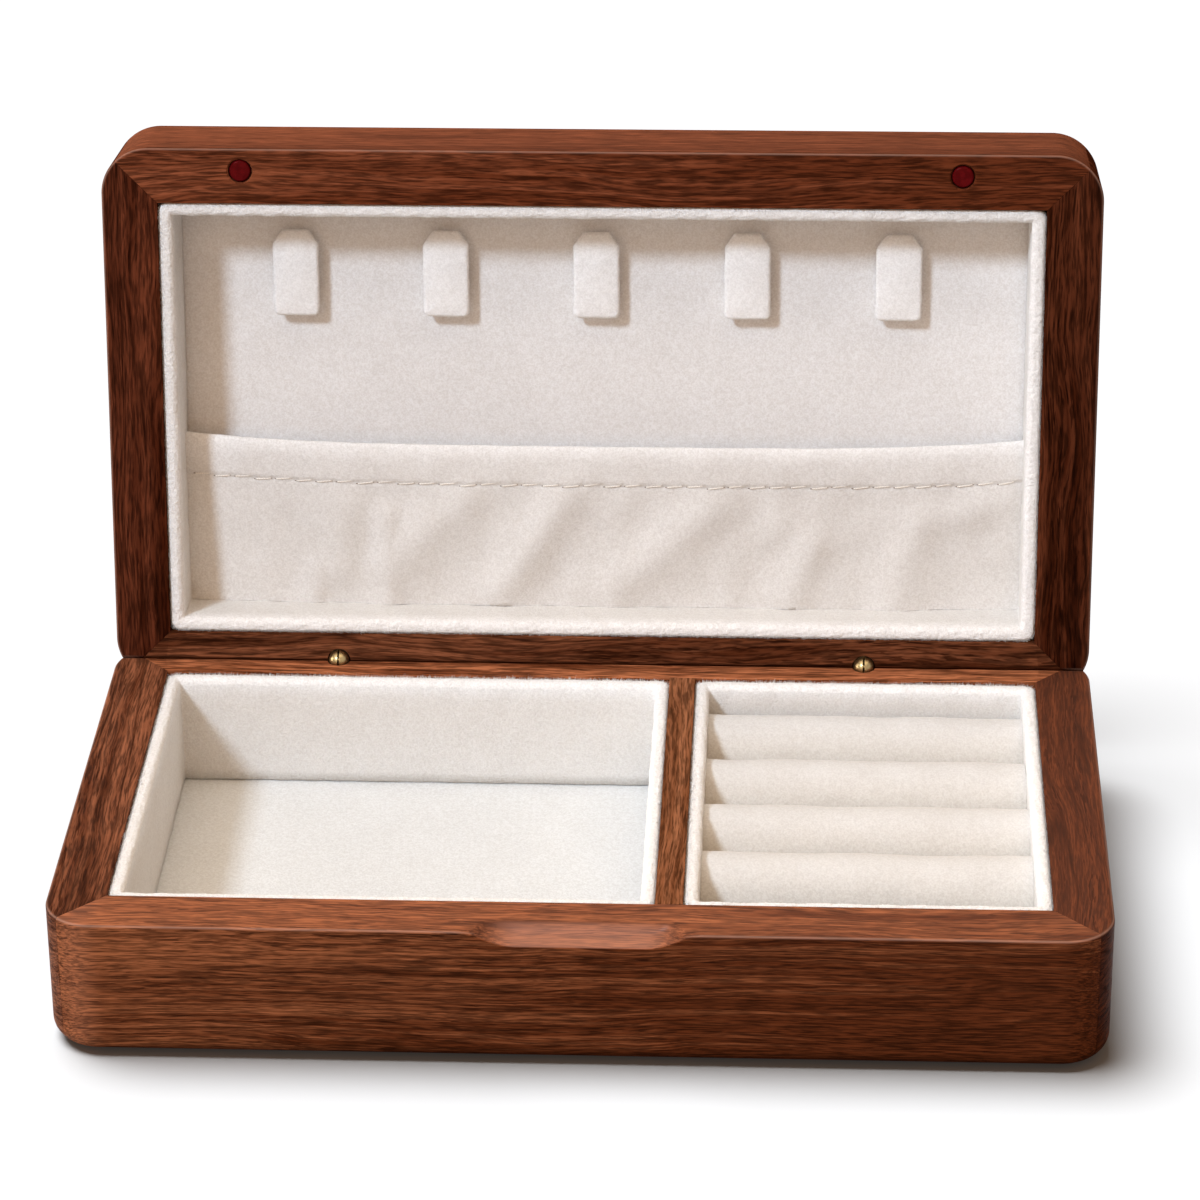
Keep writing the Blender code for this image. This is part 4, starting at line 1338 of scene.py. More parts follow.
@dataclass(frozen=True)
class Lining:
    """A velvet-covered wall that runs round a tray, with a rounded rim and its fringe of pile."""

    bench: Bench
    velvet: Finish
    name: str
    nodes: list[str]
    low: Pair
    high: Pair
    rim: float
    foot: float
    seed: int
    thickness: float
    swell: float = 0.00026
    outer_corner: float = 0.0026
    inner_corner: float = 0.0005
    squareness: float = 2.1
    wood_squareness: float = 3.2
    step: float = 0.00042
    unevenness: float = 0.00007
    uneven_length: float = 0.007
    lumps: float = 0.00006
    lump_length: float = 0.0013
    fine_lump_length: float = 0.0007
    fine_lump_share: float = 0.6
    wooden_share: float = 0.1
    calm_share: float = 0.3
    rim_steps: int = 30
    wall_steps: int = 9
    outer_steps: int = 4
    corner_points: int = 9
    # Painted highlight: full at the rim, fading down the wall.
    highlight_start: float = 1.5
    highlight_fall: float = 0.8
    fibres_per_length: float = 30000.0
    fibre_length: float = 0.00085
    fibre_width: float = 0.00011
    fibre_rise_share: float = 0.2
    fibre_spread: float = 0.25
    clump_length: float = 0.0011
    clump_share: float = 0.3
    fill: float = 0.9

    @property
    def up(self) -> float:
        """Return 1 where the rim is above the foot, and -1 where it is below."""
        return math.copysign(1.0, self.rim - self.foot)

    def section(self) -> tuple[np.ndarray, np.ndarray]:
        """Return the wall's section.

        Formula: the rim is the superellipse |d / a|^n + |h / b|^n = 1 over the wall's half
        thickness a, and straight walls run down from its two ends.

        Returns:
            The depth from the wooden side and the height of each point of the closed section.
        """
        half = self.thickness / 2 + self.swell
        middle = self.thickness / 2
        shoulder = self.rim - self.up * half
        angles = np.linspace(0, math.pi, self.rim_steps + 1)
        power = 2 / np.where(angles > QUARTER_TURN, self.wood_squareness, self.squareness)
        depth = middle + half * np.sign(np.cos(angles)) * np.abs(np.cos(angles)) ** power
        height = self.rim - self.up * half * (1 - np.abs(np.sin(angles)) ** power)
        inner = np.linspace(self.foot, shoulder, self.wall_steps + 1)[:-1]
        outer = np.linspace(shoulder, self.foot, self.outer_steps)[1:]
        depths = [np.full(len(inner), middle + half), depth, np.full(len(outer), middle - half)]
        return np.concatenate(depths), np.concatenate([inner, height, outer])

    def path(self, depths: np.ndarray) -> np.ndarray:
        """Return the plan places of each depth, all the way round the tray.

        Formula: at depth d the corner radius goes from the outer one to the inner one, and the
        arc's centre stands d plus that radius in from both sides.

        Args:
            depths: The section's depths.

        Returns:
            Points as stations by depths by two.
        """
        share = np.clip(depths / self.thickness, 0, 1)
        radius = self.outer_corner + (self.inner_corner - self.outer_corner) * share
        spots = []
        for start, signs in ((0, (1, 1)), (90, (-1, 1)), (180, (-1, -1)), (270, (1, -1))):
            corner = np.where(np.array(signs) > 0, self.high, self.low)
            centre = corner - np.array(signs) * (depths + radius)[:, None]
            angles = np.radians(np.linspace(start, start + 90, self.corner_points))
            spots.append(centre[None] + radius[None, :, None] * ray(angles)[:, None])
        parts = []
        for near, far in zip(spots, spots[1:] + spots[:1]):
            parts.append(near)
            count = max(int(np.linalg.norm(far[0, 0] - near[-1, 0]) / self.step), 2)
            share = np.linspace(0, 1, count + 1)[1:-1, None, None]
            parts.append(near[-1][None] + (far[0] - near[-1])[None] * share)
        return np.concatenate(parts)

    def rings(self) -> np.ndarray:
        """Return the uneven surface of the wall, as stations by section points by three."""
        depths, heights = self.section()
        plan = self.path(depths)
        flat = np.concatenate([plan, np.repeat(heights[None, :, None], len(plan), 0)], -1)
        swell = ripple(flat, self.seed, self.uneven_length, self.unevenness)
        near_rim = np.clip(1 - np.abs(heights - self.rim) / (2 * self.thickness), 0, 1)[None, :]
        lumps = ripple(flat, self.seed + 1, self.lump_length, self.lumps)
        lumps = lumps + ripple(flat, self.seed + 3, self.fine_lump_length, self.lumps * self.fine_lump_share)
        wooden = (depths < self.thickness * self.wooden_share)[None, :]
        swell = swell * np.where(wooden, self.calm_share, 1.0) + lumps * near_rim * np.where(wooden, 0.5, 1.0)
        return flat + ring_normals(flat) * swell[..., None]

    def fringe(self, rings: np.ndarray) -> tuple[Shape, np.ndarray]:
        """Return the fibres that stand out from the rim towards the wood.

        Formula: each fibre is rooted on the rim's outer shoulder and leans away from the wall's
        middle, with a length that follows the clumps of the pile.

        Args:
            rings: The wall's surface.

        Returns:
            The fibres, and a random share of the painted highlight for each of their points.
        """
        draw = np.random.default_rng(self.seed)
        top = self.wall_steps + self.rim_steps // 2
        side = self.wall_steps + self.rim_steps
        length = np.linalg.norm(np.diff(rings[:, top], axis=0), axis=1).sum()
        count = int(length * self.fibres_per_length)
        station = draw.uniform(0, len(rings) - 1, count)
        ring = draw.triangular(top, side - 3, side, count)
        low_s, low_r = station.astype(int), ring.astype(int)
        part_s, part_r = (station - low_s)[:, None], (ring - low_r)[:, None]
        near = rings[low_s, low_r] * (1 - part_r) + rings[low_s, low_r + 1] * part_r
        far = rings[low_s + 1, low_r] * (1 - part_r) + rings[low_s + 1, low_r + 1] * part_r
        roots = near * (1 - part_s) + far * part_s
        rise = self.fibre_rise_share * np.array([0.0, 0.0, self.up])
        lean = ring_normals(rings)[low_s, low_r] + rise + draw.normal(0, self.fibre_spread, (count, 3))
        lean = unit(lean)
        clump = 1 + ripple(roots, self.seed + 2, self.clump_length, self.clump_share)
        size = self.fibre_length * np.clip(clump, 0.5, 1.5) * draw.uniform(0.5, 1.1, count)
        tips = roots + lean * size[:, None]
        roots = roots - lean * self.fibre_width
        fibres = spikes(roots, tips, self.fibre_width * draw.uniform(0.6, 1.2, count))
        return fibres, np.repeat(draw.uniform(0.5, 1.0, count), len(fibres.points) // count)

    def build(self) -> None:
        """Make the wall and its fringe."""
        rings = self.rings()
        wall = skin(rings, looped=True)
        below = np.abs(wall.points[:, 2] - self.rim) / self.thickness
        # Painted highlight on the rim, fading down the wall.
        highlight = {"crest_share": np.clip(self.highlight_start - self.highlight_fall * below, 0, 1)}
        self.bench.add(self.name, wall, self.velvet, self.nodes, marks=highlight, fill=self.fill)
        fringe, painted_bright = self.fringe(rings)
        marks = {"crest_share": painted_bright}
        self.bench.add(self.name + "_fringe", fringe, self.velvet, [], tidy=False, marks=marks)


@dataclass(frozen=True)
class Pad:
    """A flat velvet-covered board whose face is a fine, faintly uneven grid."""

    bench: Bench
    velvet: Finish
    name: str
    nodes: list[str]
    low: Pair
    high: Pair
    face: float
    back: float
    seed: int
    roll: float = 0.0006
    roll_steps: int = 4
    step: float = 0.0016
    unevenness: float = 0.00008
    uneven_length: float = 0.016
    crease: float = 60.0
    fill: float = 1.0

    def shape(self) -> Shape:
        """Return the board.

        Formula: a grid of face points falls by the rolled edge's quarter circle near its sides,
        is lifted by ripples, and is closed by a flat copy of itself at the back.

        Returns:
            The closed board.
        """
        turn = self.roll * (1 - np.sin(np.linspace(0, QUARTER_TURN, self.roll_steps + 1)[:-1]))
        lines = []
        for low, high in zip(self.low, self.high):
            count = max(int((high - low) / self.step), 4)
            inner = np.linspace(low + self.roll, high - self.roll, count)
            line = np.concatenate([low + self.roll - turn, inner, high - self.roll + turn[::-1]])
            lines.append(np.unique(line))
        x, y = np.meshgrid(*lines, indexing="ij")
        edge = np.minimum(
            np.minimum(x - self.low[0], self.high[0] - x), np.minimum(y - self.low[1], self.high[1] - y))
        inside = np.clip(1 - edge / self.roll, 0, 1)
        up = math.copysign(1.0, self.face - self.back)
        fall = self.roll * (1 - np.sqrt(np.clip(1 - inside ** 2, 0, 1)))
        flat = np.stack([x, y, np.full_like(x, self.face)], -1)
        lift = ripple(flat, self.seed, self.uneven_length, self.unevenness) - 2 * self.unevenness
        front = flat + np.array([0, 0, up]) * ((lift * (1 - inside)) - fall)[..., None]
        back = flat.copy()
        back[..., 2] = self.back
        return closed_sheet(front, back)

    def build(self) -> None:
        """Make the board."""
        self.bench.add(self.name, self.shape(), self.velvet, self.nodes, creases=Creases.SHARP,
                       crease=self.crease, fill=self.fill)


@dataclass(frozen=True)
class Hinges:
    """Two brass barrel hinges, and the cuts that they and the lid's lean need."""

    plan: Carcass
    pivot: Triple
    opening: float
    from_end: float = 0.0575
    radius: float = 0.0026
    length: float = 0.010
    setback: float = 0.0033
    clearance: float = 0.0003
    edge: float = 0.0004
    slot: float = 0.0005
    slot_edge: float = 0.00002
    seam_arris: float = 0.00022
    overrun: float = 0.002
    segments: int = 64
    head_steps: int = 17
    crease: float = 35.0

    @property
    def places(self) -> Pair:
        """Return the X places of the two hinges."""
        x = self.plan.width / 2 - self.from_end
        return (-x, x)

    def axis(self, out: float) -> Triple:
        """Return where the axis is: at the pivot in the base's frame, at the origin in the lid's."""
        return self.pivot if out > 0 else (0.0, 0.0, 0.0)

    def saw_cuts(self, face: float, out: float) -> list[tuple[Vector, Vector]]:
        """Return the planes that bevel a frame's back, and take the edge off that bevel.

        Formula: the bevel passes half a gap behind the hinge axis and falls away from the face
        at half the opening angle. The second plane halves the corner between them.

        Args:
            face: Height of the mating face in the own frame.
            out: 1 for the base, whose face looks up, and -1 for the lid, whose face looks down.

        Returns:
            A point and an outward normal for each cut.
        """
        slope = self.opening / 2
        axis = Vector(self.axis(out))
        normal = Vector((0.0, math.sin(slope), out * math.cos(slope)))
        bevel = axis - normal * self.plan.gap / 2
        half = (normal + Vector((0.0, 0.0, out))).normalized()
        run = ((axis.z - face) * out - self.plan.gap / 2 * math.cos(slope)) / math.sin(slope)
        ridge = Vector((0.0, axis.y + run, face))
        return [(bevel, normal), (ridge - half * self.seam_arris, half)]

    def bores(self, out: float) -> Shape:
        """Return the two bores that hold the barrels.

        Args:
            out: 1 for the base, which is bored from above, and -1 for the lid.

        Returns:
            The cutting shape, in the own frame.
        """
        bore = self.radius + self.clearance
        depth = self.length + self.clearance
        _, y, z = self.axis(out)
        profile = [(bore, -depth * out), (bore, self.overrun * out)]
        return turned(profile, self.segments, [(x, y, z) for x in self.places])

    def barrel(self, out: float) -> Shape:
        """Return a barrel with a ball head on the origin.

        Formula: a cylinder with a broken edge, then a half circle of the same radius.

        Args:
            out: 1 for the base's, which hangs below the axis, and -1 for the lid's, above it.

        Returns:
            The closed barrel.
        """
        turn = np.linspace(0, QUARTER_TURN, self.head_steps)
        profile = [(self.radius - self.edge, -self.length), (self.radius, self.edge - self.length)]
        profile += list(zip(self.radius * np.cos(turn), self.radius * np.sin(turn)))
        shape = turned(profile, self.segments)
        return Shape(shape.points * np.array([1.0, out, out]), shape.faces)

    def build(self, base: Bench, lid: Bench) -> None:
        """Make the barrels, slotted for each other's lugs, and finish the pins.

        Args:
            base: The base's bench.
            lid: The lid's bench.
        """
        brass = Metal("brass")
        reach = self.radius + self.overrun
        for word, x in zip(WORDS, self.places):
            for bench, out, stand in ((base, 1.0, Stand(self.pivot)), (lid, -1.0, lid.stand)):
                node = f"hinge_{bench.body}_barrel_{word}"
                piece = mesh(node + "_fine", self.barrel(out).moved((x, 0.0, 0.0)).placed(stand))
                near, far = x - out * self.slot / 2, x + out * reach
                low, high = sorted((-out * self.setback, out * reach))
                corners = np.array([(near, -reach), (far, -reach), (far, reach), (near, reach)])
                block = soft_slab(corners, low, high, self.slot_edge)
                bored(piece, block.placed(stand))
                crisp(piece, self.crease)
                bench.keep(piece, brass, [node])
            repaint(f"hinge_pin_{word}", brass)


@dataclass(frozen=True)
class Box:
    """What the base and the lid share: four mitred rails round a body."""

    bench: Bench
    plan: Carcass
    hinges: Hinges
    out: float = 1.0
    rail_crease: float = 30.0
    cut_from: Triple = (0.0, 7.0, 11.0)
    cut_step: Triple = (13.0, 1.0, 0.0)

    @property
    def mating(self) -> float:
        """Return the height of the mating face in the own frame."""
        raise NotImplementedError

    def rings(self, side: Side) -> np.ndarray:
        """Return the rings of a rail in the own frame."""
        raise NotImplementedError

    def bores(self, side: Side) -> list[Shape]:
        """Return what is bored out of a rail: the back one takes the hinges."""
        return [self.hinges.bores(self.out)] if side is Side.BACK else []

    def cut_at(self, side: Side) -> Triple:
        """Return where a rail's grain is cut from, so that no two rails look the same."""
        return tuple(start + step * side.value for start, step in zip(self.cut_from, self.cut_step))

    def wood(self, side: Side) -> Walnut:
        """Return the finish of a rail."""
        raise NotImplementedError

    def build_rails(self) -> None:
        """Make the four rails: carried round the corners, sawn, bored, marked and dressed."""
        for side in Side:
            node = f"{self.bench.body}_{side.word}_rail"
            piece = mesh(node + "_fine", skin(self.rings(side)))
            if side is not Side.FRONT:
                trimmed(piece, self.hinges.saw_cuts(self.mating, self.out))
            for cutter in self.bores(side):
                bored(piece, cutter)
            # Mark where the painted arris highlight goes.
            self.plan.mark_arris_highlight(piece, self.mating)
            piece.data.transform(self.bench.stand.matrix())
            crisp(piece, self.rail_crease)
            self.bench.keep(piece, self.wood(side), [node])

    def build_lining(self, name: str, ends: Pair, rim: float, board: Pair, seeds: tuple[int, int],
                     velvets: tuple[Finish, Finish], pad: tuple[str, str]) -> None:
        """Make the lining round a tray and the board at its bottom.

        Args:
            name: What the names of its nodes start with.
            ends: Where the tray starts and ends in X.
            rim: Height of the lining's rim.
            board: Heights of the board's face and back.
            seeds: Seeds of the lining's and the board's unevenness.
            velvets: The velvet of the lining and that of the board.
            pad: The board's name and its node.
        """
        plan = self.plan
        low, high = (ends[0], plan.centre_y - plan.clear_y), (ends[1], plan.centre_y + plan.clear_y)
        walls = [f"{name}_{side.word}_wall" for side in Side]
        foot = board[0] + self.out * plan.gap
        Lining(self.bench, velvets[0], f"{name}_lining", walls, low, high, rim, foot, seeds[0],
               plan.lining).build()
        Pad(self.bench, velvets[1], pad[0], [pad[1]], low, high, *board, seeds[1]).build()


@dataclass(frozen=True)
class Base(Box):
    """The base: walnut rails with the finger notch, two lined trays, ring rolls and felt."""

    # Darker copies of the lid's cream velvet, as painted shade, each with a painted highlight on its crests.
    rim_velvet: Finish = Velvet(
        "tray_rim_velvet", lit=(0.83, 0.805, 0.77), deep=(0.70, 0.665, 0.625),
        highlight_lit=(0.955, 0.95, 0.94), highlight_deep=(0.78, 0.77, 0.755), relief=0.00045)
    floor_velvet: Finish = Velvet("tray_velvet", lit=(0.81, 0.825, 0.825), deep=(0.68, 0.685, 0.675))
    roll_velvet: Finish = Velvet(
        "roll_velvet", lit=(0.68, 0.645, 0.59), deep=(0.565, 0.52, 0.465),
        highlight_lit=(0.745, 0.735, 0.72), highlight_deep=(0.635, 0.62, 0.60))
    height: float = 0.036
    felt: float = 0.001
    foot: float = 0.0005
    panel: float = 0.0025
    rebate: float = 0.005
    floor_pad: float = 0.002
    divider_width: float = 0.0066
    divider_x: float = 0.0213
    divider_cut: Triple = (400.0, 31.0, 5.0)
    divider_heart: Triple = (0.186, 0.066, 0.0260)
    divider_figure: float = 0.5
    divider_steps: int = 4
    roll_count: int = 4
    front_slot: float = 0.014
    crest_drop: float = 0.0040
    roll_soft: float = 0.0006
    roll_soft_share: float = 0.75
    roll_arc: int = 49
    roll_side: int = 8
    roll_end: int = 9
    roll_run: int = 120
    roll_seeds: tuple[int, int] = (40, 50)
    roll_swell: Pair = (0.021, 0.00016)
    roll_lumps: Pair = (0.006, 0.00007)
    roll_swell_limit: float = 0.00014
    roll_highlight_slope: float = 1.5
    roll_crease: float = 70.0
    roll_fill: float = 0.95
    notch_half: float = 0.0308
    notch_flat: float = 0.0152
    notch_centre: float = 0.0009
    notch_setback: float = 0.0056
    notch_drop: float = 0.0041
    notch_power: float = 1.9
    notch_lead_power: float = 1.0
    notch_bowl_share: float = 0.40
    notch_full_share: float = 0.80
    notch_lead_share: float = 0.85
    notch_lip: float = 0.0015
    notch_stations: int = 181
    notch_softness: float = 8.0
    notch_rounds: int = 26
    notch_fade: Pair = (3.0, 1.6)
    lip_steps: int = 6
    corner_steps: int = 60
    arc_steps: int = 9
    # Painted shade: the front rail's tone falls towards its bottom and towards its right end.
    drift: Triple = (-0.0036, 0.0, 0.011)
    drift_height: float = 10.0
    polish_and_sheen_spread: Triple = (3.0, 1.2, 1.2)
    # Painted light on the front rail's top face.
    front_painted_light: float = 0.33
    # Painted highlight near the front rail's left corner.
    corner_highlight_from_end: float = 8.0
    # Painted light and sheen on the right rail's top face.
    right_painted_light: float = 0.30
    right_painted_sheen: float = 0.09
    gloss: float = 0.012
    hearts: dict[Side, Triple] = field(default_factory=lambda: {
        Side.FRONT: (0.162, 0.0450, 0.0143),
        Side.RIGHT: (0.058, 0.0124, 0.0032),
        Side.BACK: (0.250, 0.0745, 0.0262),
        Side.LEFT: (0.138, 0.0420, 0.0165),
    })

    @property
    def mating(self) -> float:
        """Return the height of the mating face."""
        return self.height

    @property
    def tray_low(self) -> float:
        """Return the height of the trays' underside."""
        return self.felt + self.panel + 2 * self.plan.gap

    @property
    def tray_floor(self) -> float:
        """Return the height of the trays' floor."""
        return self.tray_low + self.floor_pad

    def corner_samples(self, drop: np.ndarray, setback: np.ndarray, hollow: np.ndarray) -> np.ndarray:
        """Return the section of the rails' outer top corner, with the notch where it is.

        Formula: seen from the corner, the surface lies at the larger of the arris's distance
        a (c + s - sqrt(2 c s)) and the notch's 1 / ((c / drop)^n + (s / setback)^n)^(1 / n),
        where c and s are the cosine and sine of the direction below the face. A few more points
        run on over the top face, and its edge is rounded by averaging each with its neighbours.

        Args:
            drop: How far the notch reaches down at each station.
            setback: How far it reaches in at each station.
            hollow: The power n at each station, from 1 for a flat slope to 2 for a round hollow.

        Returns:
            Points (inset, height) as stations by points by two.
        """
        angles = np.linspace(0, QUARTER_TURN, self.corner_steps + 1)
        c, s = np.cos(angles), np.abs(np.sin(angles))
        arris = self.plan.arris * (c + s - np.sqrt(2 * c * s))
        power = hollow[:, None]
        down = np.maximum(drop, MERGE_DISTANCE)[:, None]
        back = np.maximum(setback, MERGE_DISTANCE)[:, None]
        scoop = ((c[None] / down) ** power + (s[None] / back) ** power) ** (-1 / power)
        soft = self.notch_softness
        reach = (arris[None] ** soft + scoop ** soft) ** (1 / soft)
        section = np.stack([reach * s, self.height - reach * c], -1)
        lip = np.linspace(0, self.notch_lip, self.lip_steps + 1)[1:]
        over = np.stack(np.broadcast_arrays(reach[:, -1:] + lip[None], self.height), -1)
        section = np.concatenate([section, over], 1)
        slope, start = self.notch_fade
        fade = np.clip(np.arange(section.shape[1]) / self.corner_steps * slope - start, 0, 1)[None, 1:-1, None]
        for _ in range(self.notch_rounds):
            mean = (section[:, :-2] + 2 * section[:, 1:-1] + section[:, 2:]) / 4
            section[:, 1:-1] += (mean - section[:, 1:-1]) * fade * (drop > 0)[:, None, None]
        return section

    def profiles(self, drop: np.ndarray, setback: np.ndarray, hollow: np.ndarray) -> np.ndarray:
        """Return the rails' sections, one for each depth of the notch.

        Args:
            drop: How far the notch reaches down at each station.
            setback: How far it reaches in at each station.
            hollow: How hollow it is at each station.

        Returns:
            Points (inset, height) as stations by points by two.
        """
        plan = self.plan
        rebate = plan.rail - self.rebate
        whole = rounded([
            (plan.rail, self.height, plan.inner_arris),
            (plan.rail, self.tray_low, plan.inner_arris),
            (rebate, self.tray_low, plan.inner_arris),
            (rebate, self.foot, plan.inner_arris),
            (0.0, self.foot, plan.edge),
            (0.0, self.height, plan.arris),
        ], self.arc_steps)
        lower = whole[:-self.arc_steps - 1]
        upper = self.corner_samples(drop, setback, hollow)
        return np.concatenate([np.repeat(lower[None], len(drop), 0), upper], 1)

    def notch(self, x: np.ndarray) -> tuple[np.ndarray, np.ndarray, np.ndarray]:
        """Return how far the notch reaches down and in at each place, and how hollow it is.

        Formula: with the run r from the notch's end to its flat middle, the drop follows
        d = r r (3 - 2 r), and the setback is a share of the root of d until the bowl starts,
        and then rises to its whole as a quarter sine, like the hollow.

        Args:
            x: Places along the front.

        Returns:
            The drop, the setback and the power of the hollow at each place.
        """
        away = np.abs(x - self.notch_centre)
        run = np.clip((self.notch_half - away) / (self.notch_half - self.notch_flat), 0, 1)
        drop = run * run * (3 - 2 * run)
        bowl = np.clip((run - self.notch_bowl_share) / (self.notch_full_share - self.notch_bowl_share), 0, 1)
        bowl = np.sin(bowl * QUARTER_TURN)
        lead = self.notch_lead_share * np.sqrt(drop)
        setback = lead + (1 - lead) * bowl
        hollow = self.notch_lead_power + (self.notch_power - self.notch_lead_power) * bowl
        return drop * self.notch_drop, setback * self.notch_setback, hollow

    def rings(self, side: Side) -> np.ndarray:
        """Return the rings of a rail.

        Args:
            side: The side of the base, of which the front has the notch.

        Returns:
            Points as stations by profile points by three.
        """
        plain = self.profiles(np.zeros(1), np.zeros(1), np.ones(1))[0]
        if side is not Side.FRONT:
            return self.plan.rail_rings(side, plain)
        stations = self.notch_centre + np.linspace(-self.notch_half, self.notch_half, self.notch_stations)
        return self.plan.rail_rings(side, plain, self.profiles(*self.notch(stations)), stations)

    def wood(self, side: Side) -> Walnut:
        """Return the finish of a rail.

        Args:
            side: The side of the base. The front rail gets painted shade towards its bottom and right end,
                painted light and sheen on its top face, a painted highlight near its left corner, and polish
                with a painted sheen in the notch; the right one has painted light and sheen on its top face.

        Returns:
            The finish, whose pattern is in millimetres from its cutting place.
        """
        cut_at = self.cut_at(side)
        finish = Walnut(f"walnut_base_{side.word}", along_y=side.along_y, cut_at=cut_at,
                        heart=self.hearts[side], gloss=self.gloss)
        if side is Side.RIGHT:
            above = np.array(cut_at) + np.array([0.0, 0.0, self.height]) * MILLIMETRES
            return replace(finish, polish_and_sheen_at=tuple(above), top_painted_light=self.right_painted_light,
                           top_painted_sheen=self.right_painted_sheen)
        if side is not Side.FRONT:
            return finish
        # The notch's polish and its painted sheen are centred here.
        middle = np.array([self.notch_centre, -self.plan.depth / 2, self.height]) * MILLIMETRES
        size = np.array([self.notch_half, self.notch_setback, self.notch_drop])
        size = size * self.polish_and_sheen_spread * MILLIMETRES
        spot = np.array(cut_at) + middle
        return replace(
            finish, drift=self.drift, drift_from=tuple(spot + np.array([0.0, 0.0, self.drift_height])),
            polish_and_sheen_at=tuple(spot), polish_and_sheen_size=tuple(size), top_painted_light=self.front_painted_light,
            corner_highlight_at=cut_at[0] - self.plan.width / 2 * MILLIMETRES + self.corner_highlight_from_end)

    def build_divider(self) -> None:
        """Make the strip between the trays."""
        half = self.divider_width / 2
        y = self.plan.depth / 2 - self.plan.rail - self.plan.gap / 3
        left, right, arris = self.divider_x - half, self.divider_x + half, self.plan.inner_arris
        section = rounded([
            (left, self.tray_low, arris),
            (right, self.tray_low, arris),
            (right, self.height, arris),
            (left, self.height, arris),
        ], self.divider_steps)
        ends = np.repeat(np.array([-y, y])[:, None, None], len(section), 1)
        both = np.repeat(section[None], 2, 0)
        rings = np.concatenate([both[..., :1], ends, both[..., 1:]], -1)
        finish = Walnut("walnut_divider", along_y=True, cut_at=self.divider_cut, heart=self.divider_heart,
                        figure=self.divider_figure)
        self.bench.add("base_divider_fine", skin(rings), finish, ["base_divider"], creases=Creases.FLATS)

    def build_trays(self) -> None:
        """Make the two trays' linings and floors."""
        half, gap, x = self.divider_width / 2, self.plan.gap, self.plan.clear_x
        for name, left, right, floor, seed in (
            ("left_tray", -x, self.divider_x - half - gap, "floor_pad", 11),
            ("ring_tray", self.divider_x + half + gap, x, "floor_board", 23),
        ):
            self.build_lining(name, (left, right), self.height - self.plan.rim_drop,
                              (self.tray_floor, self.tray_low), (seed, seed + 5),
                              (self.rim_velvet, self.floor_velvet),
                              (f"{name}_floor_velvet", f"{name}_{floor}"))

    def build_rolls(self) -> None:
        """Make the padded ring rolls.

        Formula: at the angle a round the roll, and the share e from its nearer end, the section
        is a circle of the roll's radius on straight sides, drawn in at the ends by a quarter
        ellipse, and lifted by ripples.
        """
        plan, soft = self.plan, self.roll_soft
        lined = plan.clear_y - plan.lining
        pitch = (2 * lined - self.front_slot) / self.roll_count
        radius = (pitch - plan.gap) / 2
        left = self.divider_x + self.divider_width / 2 + plan.gap + plan.lining
        right = plan.clear_x - plan.lining
        low, top = self.tray_floor + plan.gap, self.height - self.crest_drop
        angles = np.linspace(0, math.pi, self.roll_arc)
        side = np.linspace(low, top - radius, self.roll_side)[:-1]
        flank = np.full(len(side), radius)
        across = np.concatenate([flank, radius * np.cos(angles), -flank])
        level = np.concatenate([side, top - radius + radius * np.sin(angles), side[::-1]])
        turn = np.linspace(0, QUARTER_TURN, self.roll_end)
        run = np.linspace(soft, right - left - soft, self.roll_run)[1:-1]
        curve = soft * (1 - np.cos(turn))
        runs = np.concatenate([curve, run, right - left - curve[::-1]])
        narrowing = 1 - np.sin(turn)
        shrink = np.concatenate([narrowing, 0 * run, narrowing[::-1]]) * soft * self.roll_soft_share
        for index in range(self.roll_count):
            y = lined - plan.gap - radius - index * pitch
            rings = np.stack([
                np.repeat((left + runs)[:, None], len(across), 1),
                y + across[None] * (1 - shrink / radius)[:, None],
                low + (level[None] - low) * (1 - shrink / (top - low))[:, None],
            ], -1)
            crown = ((level - low) / (top - low))[None]
            slope = self.roll_highlight_slope
            # Painted highlight on the roll's crest, fading down both sides.
            highlight = np.clip((level[None] - (top - radius)) / radius * slope - 0.5, 0, 1) ** 2
            highlight = highlight + 0 * rings[..., 0]
            seed, lump_seed = (start + index for start in self.roll_seeds)
            swell = ripple(rings, seed, *self.roll_swell) + ripple(rings, lump_seed, *self.roll_lumps)
            lift = np.minimum(swell, self.roll_swell_limit) * crown
            shape = skin(rings + ring_normals(rings) * lift[..., None])
            node = f"ring_roll_{index + 1}"
            self.bench.add(node + "_velvet", shape, self.roll_velvet, [node], marks={"crest_share": highlight},
                           creases=Creases.SHARP, crease=self.roll_crease, fill=self.roll_fill)

    def build_underside(self) -> None:
        """Make the felt, and finish the hidden panel."""
        outline = self.plan.outline(self.plan.rail - self.rebate + self.plan.gap)
        felt = soft_slab(outline, 0.0, self.felt, self.felt / 4)
        self.bench.add("base_felt_soft", felt, Felt("brown_felt"), ["base_felt_sheet"],
                       creases=Creases.FLATS, fill=1.0)
        repaint("base_bottom_panel", Ply("birch_ply"))

    def build(self) -> None:
        """Make the whole base."""
        self.build_rails()
        self.build_divider()
        self.build_trays()
        self.build_rolls()
        self.build_underside()


